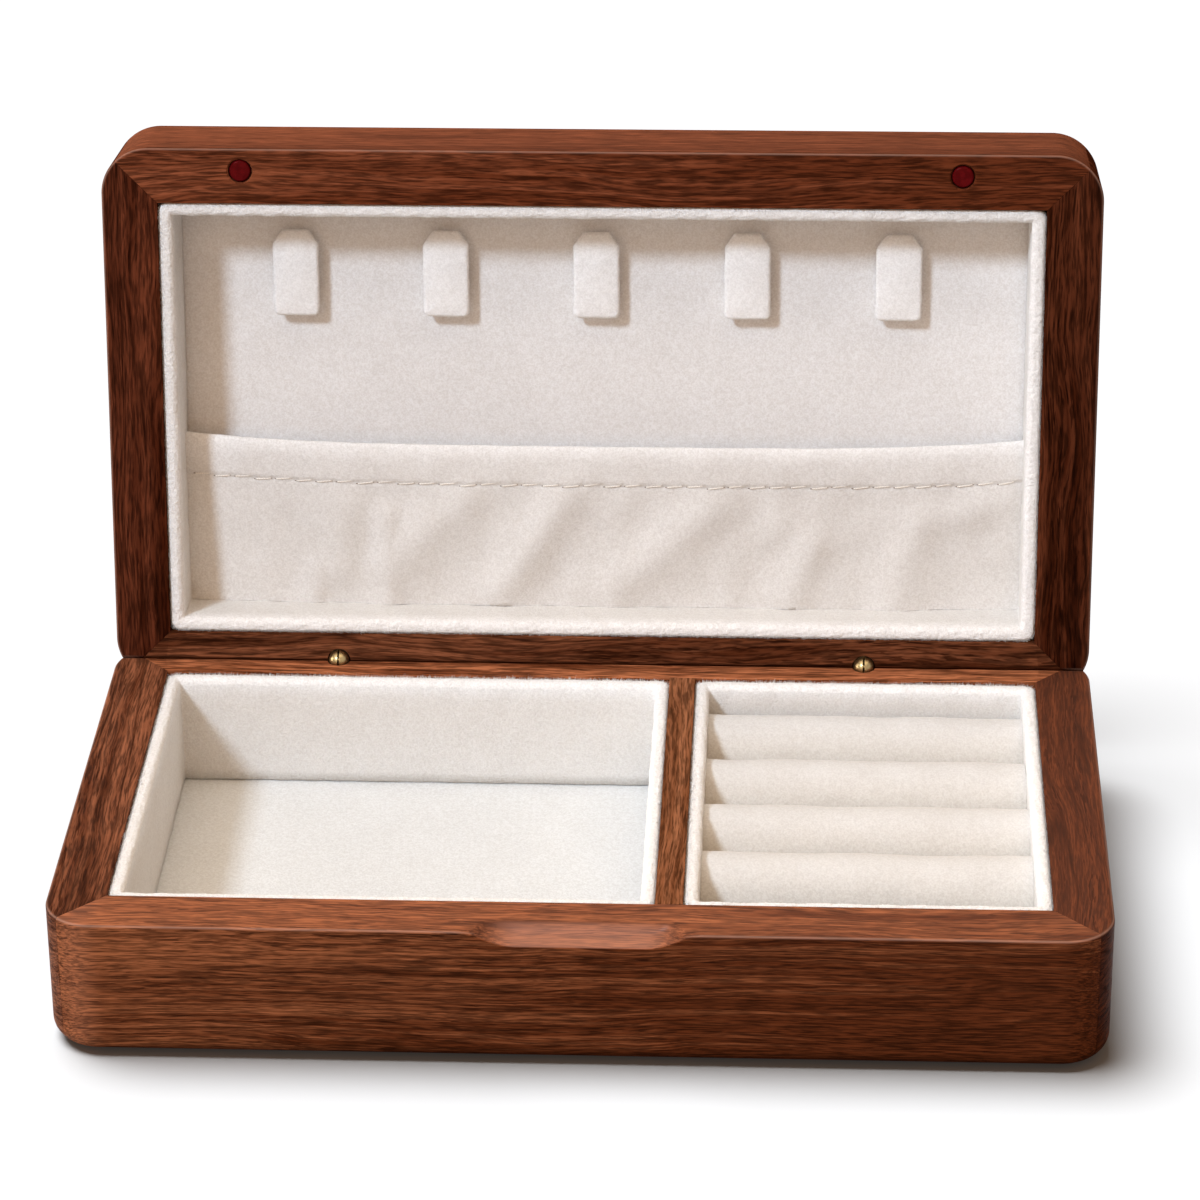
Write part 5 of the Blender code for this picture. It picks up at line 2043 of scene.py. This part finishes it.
@dataclass(frozen=True)
class Pocket:
    """The gathered pocket: a sheet with soft folds, a thicker hem and a line of stitches."""

    bench: Bench
    half_span: float
    foot: float
    backing: float
    # A darker copy of the cream velvet, as painted shade on the pocket.
    velvet: Finish = Velvet("pocket_velvet", lit=(0.775, 0.745, 0.71), deep=(0.645, 0.605, 0.565))
    top: float = 0.0565
    sheet: float = 0.0014
    hem_sheet: float = 0.0022
    hem_height: float = 0.011
    hem_standoff: float = 0.0064
    foot_standoff: float = 0.0034
    belly: float = 0.0041
    belly_at_foot_share: float = 0.5
    sag: float = 0.0018
    fold: float = 0.0017
    fold_width: float = 0.0056
    fold_blend: float = 3.0
    wrinkle_seed: int = 71
    wrinkle: Pair = (0.012, 0.00016)
    wrinkle_up_share: float = 0.6
    step_width: float = 0.00045
    seam_drop: float = 0.0002
    seam_width: float = 0.0007
    pinch: float = 0.00050
    pinch_share: float = 0.45
    hole_size: float = 0.0008
    hem_roll: float = 0.0044
    hem_fall: float = 0.0016
    stations: int = 440
    rows: tuple[int, ...] = (30, 22, 9, 17)
    hem_margin_share: float = 0.04
    hem_highlight: Pair = (0.15, 0.75)
    stitch_pitch: float = 0.0053
    stitch_length: float = 0.0050
    stitch_rise: float = 0.0003
    stitch_slant: float = 0.00028
    stitch_stray: float = 0.00022
    stitch_beat: float = 3.7
    stitch_stations: int = 21
    stitch_sides: int = 8
    thread: float = 0.00034
    thread_lift_share: float = 0.25
    thread_dip_share: float = 0.9
    thread_taper_share: float = 0.55
    crease: float = 70.0
    fold_shares: tuple[tuple[float, ...], ...] = (
        (-0.68, 0.24, -0.70, 0.00, 0.45, 0.55),
        (-0.64, 0.62, -0.63, 0.22, 0.70, 1.00),
        (-0.52, 0.56, -0.515, 0.00, 0.75, 0.62),
        (-0.335, 0.66, -0.514, 0.22, 0.95, 1.10),
        (-0.107, 0.63, -0.243, 0.12, 1.20, 1.05),
        (0.263, 0.61, 0.030, 0.12, 1.05, 1.20),
        (0.431, 0.50, 0.499, 0.38, 0.50, 0.90),
        (0.499, 0.38, 0.457, 0.08, 0.90, 0.95),
        (0.950, 0.65, 0.756, 0.53, 0.80, 0.95),
        (0.756, 0.53, 0.705, 0.05, 1.10, 1.05),
    )

    @property
    def tall(self) -> float:
        """Return the pocket's height from its foot to its mouth at the ends."""
        return self.top - self.foot

    @property
    def stitch_count(self) -> int:
        """Return the number of stitches."""
        return int(2 * self.half_span / self.stitch_pitch)

    @property
    def first_hole(self) -> float:
        """Return the share of a pitch that brings a needle hole to the middle of each beat."""
        return 0.5 if self.stitch_count % 2 == 0 else 0.0

    @property
    def hem_starts(self) -> float:
        """Return the share of the height at which the hem starts."""
        return 1 - self.hem_height / self.tall

    def folds(self, across: np.ndarray, up: np.ndarray) -> np.ndarray:
        """Return the height of the folds.

        Formula: each fold is a ridge h along a line with a bell-shaped section, and where they
        meet the height is the p-norm (sum of h^p)^(1/p), which is a soft greatest value.

        Args:
            across: Shares from -1 to 1 across the pocket.
            up: Shares from 0 to 1 up the pocket.

        Returns:
            A height for each place.
        """
        size = np.array([self.half_span, self.tall])
        place = np.stack([across, up], -1) * size
        total = np.zeros(across.shape)
        for *ends, share, wide in self.fold_shares:
            start, end = np.array(ends).reshape(2, 2) * size
            run = end - start
            along = np.clip(((place - start) @ run) / (run @ run), 0, 1)
            distance = np.linalg.norm(place - start - along[..., None] * run, axis=-1)
            ridge = share * np.exp(-(distance / (self.fold_width * wide)) ** 2)
            total = total + ridge ** self.fold_blend
        return self.fold * total ** (1 / self.fold_blend)

    def standoff(self, across: np.ndarray, up: np.ndarray) -> np.ndarray:
        """Return how far the outer face stands off the backing.

        Formula: a straight slope from foot to mouth, a belly that grows upwards and dies out at
        the ends as 1 - across^4, the folds below the hem, and the pinch of the stitches.

        Args:
            across: Shares from -1 to 1 across the pocket.
            up: Shares from 0 to 1 up the pocket.

        Returns:
            A distance for each place.
        """
        belly = self.belly * (self.belly_at_foot_share + (1 - self.belly_at_foot_share) * up)
        straight = self.foot_standoff + (self.hem_standoff - self.foot_standoff) * up
        fade = np.clip(1 - up ** 6, 0, 1)
        below = (self.hem_starts - up) * self.tall
        step = (self.hem_sheet - self.sheet) * 0.5 * (np.tanh(-below / self.step_width) + 1) / 2
        seam = np.exp(-((below + self.seam_drop) / self.seam_width) ** 2)
        phase = (across * self.half_span / self.stitch_pitch + self.first_hole) % 1.0
        hole = np.exp(-((phase - 0.5) * self.stitch_pitch / self.hole_size) ** 2)
        beat = self.pinch_share + (1 - self.pinch_share) * hole
        place = np.stack([across * self.half_span, up * self.tall * self.wrinkle_up_share, 0 * up], -1)
        return (straight + belly * (1 - across ** 4) + self.folds(across, up) * fade
                + ripple(place, self.wrinkle_seed, *self.wrinkle) + step - self.pinch * seam * beat)

    def heights(self, across: np.ndarray, up: np.ndarray) -> np.ndarray:
        """Return the distance from the hinge axis at each place, with the mouth's sag."""
        return self.foot + up * self.tall - self.sag * (1 - across ** 4) * up

    def rings(self) -> np.ndarray:
        """Return the closed sections of the sheet, as stations by points by three.

        Formula: the outer face stands off as worked out, and over the hem's last stretch it
        curves back to the inner one as a quarter ellipse.

        Returns:
            The rings.
        """
        roll = self.hem_roll / self.tall
        before, after = self.hem_starts - self.hem_margin_share, self.hem_starts + self.hem_margin_share
        foot_rows, seam_rows, hem_rows, roll_rows = self.rows
        up = np.concatenate([
            np.linspace(0, before, foot_rows),
            np.linspace(before, after, seam_rows)[1:],
            np.linspace(after, 1 - roll, hem_rows)[1:],
            1 - roll + roll * np.sin(np.linspace(0, QUARTER_TURN, roll_rows)[1:]),
        ])[None]
        across, up = np.broadcast_arrays(np.linspace(-1, 1, self.stations)[:, None], up)
        stand = self.standoff(across, up)
        thick = self.sheet + (self.hem_sheet - self.sheet) * (up > self.hem_starts)
        near = np.clip((up - 1) * self.tall / self.hem_roll + 1, 0, 1)
        fall = self.hem_fall * (1 - np.sqrt(np.clip(1 - near ** 2, 0, 1)))
        x, y = across * self.half_span, -self.heights(across, up)
        outer = np.stack([x, y, self.backing - stand + fall], -1)
        inner = np.stack([x, y, self.backing - stand + thick - fall / 8], -1)
        return np.concatenate([outer, inner[:, ::-1]], 1)

    def stitches(self) -> Shape:
        """Return the stitches: short threads that dip into the cloth at both ends.

        Formula: a thread's middle line is straight and slightly slanted, its height over the
        cloth is a flat arch, and its section is a circle that narrows at the ends.

        Returns:
            All the closed threads in one shape.
        """
        middles = (np.arange(self.stitch_count) - (self.stitch_count - 1) / 2) * self.stitch_pitch
        share = np.linspace(-1, 1, self.stitch_stations)
        angles = np.linspace(0, 2 * math.pi, self.stitch_sides, endpoint=False)
        ring = np.stack([0 * angles, np.cos(angles), np.sin(angles)], -1)
        radius = self.thread / 2 * (1 - self.thread_taper_share * share ** 8)
        shapes = []
        for number, middle in enumerate(middles):
            x = middle + share * self.stitch_length / 2
            across = np.clip(x / self.half_span, -1, 1)
            up = np.full_like(across, self.hem_starts + self.stitch_rise / self.tall)
            stray = self.stitch_stray * math.sin(self.stitch_beat * number)
            y = -self.heights(across, up) - share * self.stitch_slant - stray
            lift = self.thread * (self.thread_lift_share - self.thread_dip_share * share ** 6)
            line = np.stack([x, y, self.backing - self.standoff(across, up) - lift], -1)
            shapes.append(skin(line[:, None] + radius[:, None, None] * ring[None]))
        return Shape.joined(shapes)

    def build(self) -> None:
        """Make the pocket and its stitches."""
        shape = skin(self.rings())
        up = (-shape.points[:, 1] - self.foot) / self.tall
        hem = np.clip((up - self.hem_starts) / (1 - self.hem_starts), 0, 1)
        # Painted highlight, faint on the cloth and growing up the hem.
        start, rise = self.hem_highlight
        piece = self.bench.add("lid_pocket_velvet", shape, self.velvet, ["lid_pocket"],
                               marks={"crest_share": start + rise * hem}, creases=Creases.SHARP,
                               crease=self.crease)
        dip = np.repeat(np.abs(np.linspace(-1, 1, self.stitch_stations)), self.stitch_sides)
        seam = self.bench.add("lid_pocket_stitching", self.stitches(), Thread("cream_thread"), [], tidy=False,
                              marks={"dip_share": np.tile(dip, self.stitch_count)})


@dataclass(frozen=True)
class Lid(Box):
    """The lid: walnut rails, the lined recess with hooks and pocket, and the pearl field outside."""

    out: float = -1.0
    cut_from: Triple = (50.0, 90.0, 37.0)
    cut_step: Triple = (9.0, 0.7, 0.0)
    # The rim's velvet is a darker copy of the backing's, as painted shade, and the hooks' has a lighter painted
    # highlight.
    rim_velvet: Finish = Velvet(
        "rim_velvet", lit=(0.82, 0.795, 0.76), deep=(0.69, 0.655, 0.615), relief=0.00045)
    backing_velvet: Finish = Velvet("backing_velvet")
    hook_velvet: Finish = Velvet("hook_velvet", highlight_lit=(0.965, 0.94, 0.915), highlight_deep=(0.82, 0.79, 0.76))
    thickness: float = 0.031
    face: float = 0.00015
    recess: float = 0.020
    backing: float = 0.0022
    rebate: float = 0.004
    arc_steps: int = 10
    pearl: float = 0.0012
    pearl_sink: float = 0.0003
    bed_sink_share: float = 0.25
    hook_count: int = 5
    hook_end_margin: float = 0.02525
    hook_top_margin: float = 0.007
    hook_offset: float = -0.0016
    hook_width: float = 0.0117
    hook_height: float = 0.0224
    hook_tab: float = 0.0022
    hook_gap: float = 0.0026
    hook_neck: float = 0.0066
    hook_cut_across: float = 0.0026
    hook_cut_up: float = 0.0036
    hook_crown: float = 0.0004
    hook_soft: float = 0.0015
    hook_roll_share: float = 0.48
    hook_seed: int = 90
    hook_swell: Pair = (0.004, 0.00005)
    hook_steps: int = 8
    hook_crease: float = 60.0
    hook_fill: float = 0.9
    magnet_from_end: float = 0.035
    magnet_inset: float = 0.0057
    magnet_radius: float = 0.0027
    magnet_thickness: float = 0.0025
    magnet_clearance: float = 0.0003
    magnet_sink: float = 0.0001
    magnet_mouth: float = 0.00035
    magnet_dish: float = 0.00002
    magnet_parts: float = 5.0
    magnet_segments: int = 72
    magnet_steps: int = 9
    magnet_crease: float = 50.0
    tile_length: float = 0.0150
    tile_width: float = 0.0074
    tile_joint: float = 0.00035
    tile_crease: float = 20.0
    tile_seed: int = 5
    front_drift: Triple = (-0.0028, 0.0, 0.021)
    drift_height: float = 12.0
    front_figure: float = 0.65
    # Painted light over the lid's front rail, all but its mating strip.
    front_painted_light: float = 0.08
    front_face: Triple = (0.0, 900.0, 1.6)
    panel_cut: Triple = (700.0, 3.0, 60.0)
    hearts: dict[Side, Triple] = field(default_factory=lambda: {
        Side.FRONT: (0.136, 0.0350, 0.0128),
        Side.RIGHT: (0.056, 0.0128, 0.0043),
        Side.BACK: (0.112, 0.0335, 0.0122),
        Side.LEFT: (0.065, 0.0142, 0.0050),
    })

    @property
    def mating(self) -> float:
        """Return the height of the mating face."""
        return self.face

    @property
    def top(self) -> float:
        """Return the height of the outer face."""
        return self.face + self.thickness

    @property
    def backing_low(self) -> float:
        """Return the height of the recess's bottom."""
        return self.face + self.recess

    @property
    def magnet_places(self) -> list[Triple]:
        """Return the places of the two magnets."""
        x = self.plan.width / 2 - self.magnet_from_end
        y = self.plan.centre_y - self.plan.depth / 2 + self.magnet_inset
        return [(-x, y, 0.0), (x, y, 0.0)]

    def rings(self, side: Side) -> np.ndarray:
        """Return the rings of a rail.

        Args:
            side: The side of the lid.

        Returns:
            Points as stations by profile points by three.
        """
        plan = self.plan
        behind = self.backing_low + self.backing
        step = plan.rail - self.rebate
        return plan.rail_rings(side, rounded([
            (plan.rail, self.face, plan.inner_arris),
            (plan.rail, behind, plan.inner_arris),
            (step, behind, plan.inner_arris),
            (step, self.top, plan.inner_arris),
            (0.0, self.top, plan.edge),
            (0.0, self.face, plan.arris),
        ], self.arc_steps))

    def bores(self, side: Side) -> list[Shape]:
        """Return what is bored out of a rail: the front one takes the magnets, with broken mouths.

        Args:
            side: The side of the lid.

        Returns:
            The cutting shapes, in the own frame.
        """
        if side is not Side.FRONT:
            return super().bores(side)
        bore = self.magnet_radius + self.magnet_clearance
        depth = self.face + self.magnet_sink + self.magnet_thickness + self.plan.gap
        mouth = self.magnet_mouth
        profile = [
            (bore + mouth + self.face + self.plan.rail, -self.plan.rail),
            (bore + mouth, self.face),
            (bore, self.face + mouth),
            (bore, depth),
        ]
        return [turned(profile, self.magnet_segments, self.magnet_places)]

    def wood(self, side: Side) -> Walnut:
        """Return the finish of a rail.

        Args:
            side: The side of the lid. The front rail drifts in tone, and has painted light and a painted sheen
                on all but the strip at its mating face.

        Returns:
            The finish, whose pattern is in millimetres from its cutting place.
        """
        cut_at = self.cut_at(side)
        x, y, z = cut_at
        finish = Walnut(f"walnut_lid_{side.word}", stand=self.bench.stand, along_y=side.along_y,
                        cut_at=cut_at, heart=self.hearts[side], drift_from=(x, y, z + self.drift_height))
        if side is not Side.FRONT:
            return finish
        return replace(finish, drift=self.front_drift, figure=self.front_figure,
                       polish_and_sheen_at=tuple(np.add(cut_at, self.front_face)), top_painted_light=self.front_painted_light)

    def build_magnets(self) -> None:
        """Make the two red magnets.

        Formula: a disc turned from a profile whose front edge is a quarter circle.
        """
        soft = self.magnet_radius / self.magnet_parts
        turn = np.linspace(0, QUARTER_TURN, self.magnet_steps)
        rim = self.magnet_radius - soft
        sunk = self.face + self.magnet_sink
        profile = [(rim * 0.5, sunk - self.magnet_dish)]
        profile += list(zip(rim + soft * np.sin(turn), sunk + soft * (1 - np.cos(turn))))
        profile += [(self.magnet_radius, sunk + self.magnet_thickness)]
        enamel = Enamel("wine_red_enamel")
        for word, place in zip(WORDS, self.magnet_places):
            node = f"lid_magnet_{word}"
            self.bench.add(node + "_fine", turned(profile, self.magnet_segments, [place]), enamel, [node],
                           creases=Creases.FLATS, crease=self.magnet_crease)

    def build_hooks(self) -> None:
        """Make the necklace hooks: a soft-edged tab with cut top corners on a neck at its foot."""
        plan, soft = self.plan, self.hook_soft
        lined_x, lined_y = plan.clear_x - plan.lining, plan.clear_y - plan.lining
        pitch = (2 * lined_x - 2 * self.hook_end_margin - self.hook_width) / (self.hook_count - 1)
        foot = plan.centre_y - lined_y + self.hook_top_margin + self.hook_height
        half, inset = self.hook_width / 2, soft / 3
        tab = rounded([
            (half, 0.0, soft),
            (half, self.hook_cut_up - self.hook_height, soft),
            (half - self.hook_cut_across, -self.hook_height, soft),
            (self.hook_cut_across - half, -self.hook_height, soft),
            (-half, self.hook_cut_up - self.hook_height, soft),
            (-half, 0.0, soft),
        ], self.hook_steps)
        neck = rounded([
            (half - inset, -inset, soft),
            (half - inset, -self.hook_neck, soft),
            (inset - half, -self.hook_neck, soft),
            (inset - half, -inset, soft),
        ], self.hook_steps)
        back = self.backing_low - self.hook_gap
        front = back - self.hook_tab
        roll = self.hook_tab * self.hook_roll_share
        for index in range(self.hook_count):
            x = self.hook_offset + (index - (self.hook_count - 1) / 2) * pitch
            shape = Shape.joined([
                cushion(dense(tab, inset), front, back, roll, self.hook_crown),
                soft_slab(neck, back - self.hook_tab / 2, self.backing_low - plan.gap / 20, inset, 3),
            ]).moved((x, foot, 0.0))
            swell = ripple(shape.points, self.hook_seed + index, *self.hook_swell)
            shape.points = shape.points + swell[:, None]
            node = f"necklace_hook_{index + 1}"
            # Painted highlight over the whole hook.
            painted_bright = {"crest_share": np.ones(len(shape.points))}
            self.bench.add(node + "_velvet", shape, self.hook_velvet, [node], marks=painted_bright,
                           creases=Creases.FLATS, crease=self.hook_crease, fill=self.hook_fill)

    def build_pearl(self) -> None:
        """Make the pearl field: tiles in running bond on a dark bed, inside the rails.

        Formula: row r holds tiles of one length, shifted by half a tile on odd rows and cut at
        the field's ends, and each tile is a slab with a rolled edge.
        """
        plan = self.plan
        inset = plan.rail - self.rebate + plan.gap
        high = self.top - self.pearl_sink
        low = high - self.pearl
        bed = soft_slab(plan.outline(inset), low, high - self.pearl * self.bed_sink_share, plan.inner_arris)
        self.bench.add("lid_pearl_bed", bed, Grout("dark_grout"), ["lid_pearl_panel"], creases=Creases.FLATS)
        margin = inset + self.tile_joint
        half_x = plan.width / 2 - margin
        half_y = plan.depth / 2 - margin
        rows = round(2 * half_y / self.tile_width)
        count = round(2 * half_x / self.tile_length)
        width, step = 2 * half_y / rows, 2 * half_x / count
        gap = self.tile_joint / 2
        shapes, shares = [], []
        draw = np.random.default_rng(self.tile_seed)
        for row in range(rows):
            y = plan.centre_y - half_y + (row + 0.5) * width
            near_y, far_y = y - width / 2 + gap, y + width / 2 - gap
            edges = -half_x + step * (np.arange(count + 1) - (0.5 if row % 2 else 0.0))
            edges = np.unique(np.clip(np.append(edges, half_x), -half_x, half_x))
            for near, far in zip(edges[:-1] + gap, edges[1:] - gap):
                spot = rounded([
                    (near, near_y, gap), (far, near_y, gap), (far, far_y, gap), (near, far_y, gap)], 1)
                shapes.append(soft_slab(spot, low + self.pearl / 3, high, gap / 2, 2))
                shares.append(np.full(len(shapes[-1].points), draw.uniform()))
        finish = Pearl("mother_of_pearl", stand=self.bench.stand)
        self.bench.add("lid_pearl_tiles", Shape.joined(shapes), finish, [], tidy=False,
                       marks={"tile_share": np.concatenate(shares)}, creases=Creases.SHARP,
                       crease=self.tile_crease)

    def build(self) -> None:
        """Make the whole lid."""
        plan = self.plan
        self.build_rails()
        self.build_magnets()
        self.build_lining("lid", (-plan.clear_x, plan.clear_x), self.face + plan.rim_drop,
                          (self.backing_low, self.backing_low + self.backing), (61, 67),
                          (self.rim_velvet, self.backing_velvet), ("lid_backing_velvet", "lid_backing_pad"))
        self.build_hooks()
        Pocket(
            self.bench,
            half_span=plan.width / 2 - plan.rail - plan.lining - 1.5 * plan.gap,
            foot=plan.rail - plan.hinge_inset + plan.lining + 2 * plan.gap,
            backing=self.backing_low,
        ).build()
        self.build_pearl()
        repaint("lid_top_panel", Walnut("walnut_top_panel", stand=self.bench.stand, cut_at=self.panel_cut))


@dataclass(frozen=True)
class Lamp:
    """A distant soft light: where it travels, its strength, width, colour and what it lights."""

    name: str
    travel: Triple
    strength: float
    width: float
    colour: Triple
    on_floor: bool = False

    def build(self, floor: Piece, lid: list[Piece]) -> None:
        """Hang the lamp, for the floor alone or for the box alone.

        Args:
            floor: The floor.
            lid: The lid's pieces, which stand in the way of no light on the floor.
        """
        data = bpy.data.lights.new(self.name, "SUN")
        data.energy = self.strength
        data.angle = math.radians(self.width)
        data.color = self.colour
        lamp = bpy.data.objects.new(self.name, data)
        bpy.context.scene.collection.objects.link(lamp)
        lamp.rotation_euler = Vector(self.travel).to_track_quat("-Z", "Y").to_euler()
        state = "INCLUDE" if self.on_floor else "EXCLUDE"
        lamp.light_linking.receiver_collection = self.linked("_lights", [floor], state)
        if self.on_floor:
            lamp.light_linking.blocker_collection = self.linked("_passes", lid, "EXCLUDE")

    def linked(self, ending: str, pieces: list[Piece], state: str) -> bpy.types.Collection:
        """Put pieces into a collection for light linking.

        Args:
            ending: What its name adds to the lamp's.
            pieces: The pieces.
            state: Whether the lamp includes or excludes them.

        Returns:
            The collection.
        """
        group = bpy.data.collections.new(self.name + ending)
        for piece in pieces:
            group.objects.link(piece)
        for part in group.collection_objects:
            part.light_linking.link_state = state
        return group


@dataclass(frozen=True)
class Studio:
    """The floor, the lights, the white surround and the camera."""

    camera_place: Triple = (0.05083, -0.98574, 0.58905)
    camera_turn: Triple = (63.028, 0.600, 2.803)
    lens: float = 138.52
    sensor: float = 36.0
    shift: Pair = (0.0201, 0.0)
    surround: float = 0.22
    surround_colour: Triple = (1.0, 0.58, 0.31)
    white: Triple = (1.0, 1.0, 1.0)
    floor_colour: Triple = (0.44, 0.455, 0.47)
    floor_glow: float = 0.02
    floor_bounce: float = 0.42
    floor_size: float = 6.0
    lamps: tuple[Lamp, ...] = (
        Lamp("key", (0.43, 0.62, -0.66), 1.88, 10.0, (0.86, 1.04, 1.25)),
        Lamp("overhead", (-0.05, -0.15, -0.98), 2.02, 84.0, (1.0, 0.86, 0.70)),
        Lamp("front_fill", (0.10, 0.93, -0.35), 0.55, 50.0, (1.0, 0.72, 0.50)),
        Lamp("side_glow", (0.99, 0.02, -0.10), 1.70, 30.0, (1.0, 0.96, 0.92)),
        Lamp("floor_wash", (0.31, -0.165, -1.0), 7.0, 38.0, (1.0, 1.0, 1.0), on_floor=True),
    )

    def build_camera(self) -> None:
        """Put the camera where the photograph was taken from."""
        data = bpy.data.cameras.new("camera")
        data.lens = self.lens
        data.sensor_width = self.sensor
        data.shift_x, data.shift_y = self.shift
        camera = bpy.data.objects.new("camera", data)
        bpy.context.scene.collection.objects.link(camera)
        camera.location = self.camera_place
        camera.rotation_euler = [math.radians(turn) for turn in self.camera_turn]
        bpy.context.scene.camera = camera

    def build_surround(self) -> None:
        """Set the white surround, which gives the box a dimmer, warmer light than it shows."""
        world = bpy.data.worlds.new("studio")
        bpy.context.scene.world = world
        world.use_nodes = True
        graph = Graph(world.node_tree)
        seen = graph.seen_directly()
        graph.feed(world.node_tree.nodes["Background"], {
            "Color": graph.mix(seen, self.surround_colour, self.white),
            "Strength": graph.sums("MULTIPLY_ADD", seen, 1 - self.surround, self.surround),
        })

    def build_floor(self) -> Piece:
        """Lay the pale floor, which shows the shadow and is white elsewhere.

        Returns:
            The floor.
        """
        half = self.floor_size / 2
        corners = np.array([(-half, -half, 0), (half, -half, 0), (half, half, 0), (-half, half, 0)], float)
        floor = mesh("floor", Shape(corners, [[0, 1, 2, 3]]), tidy=False)
        material = bpy.data.materials.new("studio_floor")
        material.use_nodes = True
        graph, nodes = Graph(material.node_tree), material.node_tree.nodes
        seen = graph.seen_directly()
        dim = tuple(part * self.floor_bounce for part in self.floor_colour)
        graph.feed(nodes["Principled BSDF"], {
            "Base Color": graph.mix(seen, dim, self.floor_colour),
            "Roughness": 1.0,
            "Specular IOR Level": 0.0,
        })
        glow = graph.node("Emission", {"Strength": graph.times(seen, self.floor_glow)})
        both = graph.node("AddShader", {0: nodes["Principled BSDF"].outputs[0], 1: glow.outputs[0]})
        graph.feed(nodes["Material Output"], {"Surface": both.outputs[0]})
        floor.data.materials.append(material)
        return floor

    def build(self, lid: list[Piece]) -> None:
        """Set the whole studio.

        Args:
            lid: The lid's pieces.
        """
        self.build_camera()
        self.build_surround()
        floor = self.build_floor()
        for lamp in self.lamps:
            lamp.build(floor, lid)
        bpy.context.scene.view_settings.view_transform = "Standard"


def main() -> None:
    """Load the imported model, dress it and set the studio."""
    logging.basicConfig(level=logging.INFO, format="%(name)s: %(message)s")
    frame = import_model()
    joint = frame["joints"][0]
    pivot, opening = tuple(joint["pos_m"]), math.radians(joint["range_deg"][1])
    base, lid = Bench("base", Stand()), Bench("lid", Stand(pivot, opening))
    plan = Carcass()
    hinges = Hinges(plan, pivot, opening)
    Base(base, plan, hinges).build()
    Lid(lid, replace(plan, centre_y=plan.hinge_inset - plan.depth / 2), hinges).build()
    hinges.build(base, lid)
    nickel = Metal("nickel", colour=(0.66, 0.65, 0.62), tarnish=(0.4, 0.38, 0.35))
    for word in WORDS:
        repaint(f"base_magnet_{word}", nickel)
    Studio().build(lid.pieces)
    bpy.context.view_layer.update()


if __name__ == "__main__":
    main()
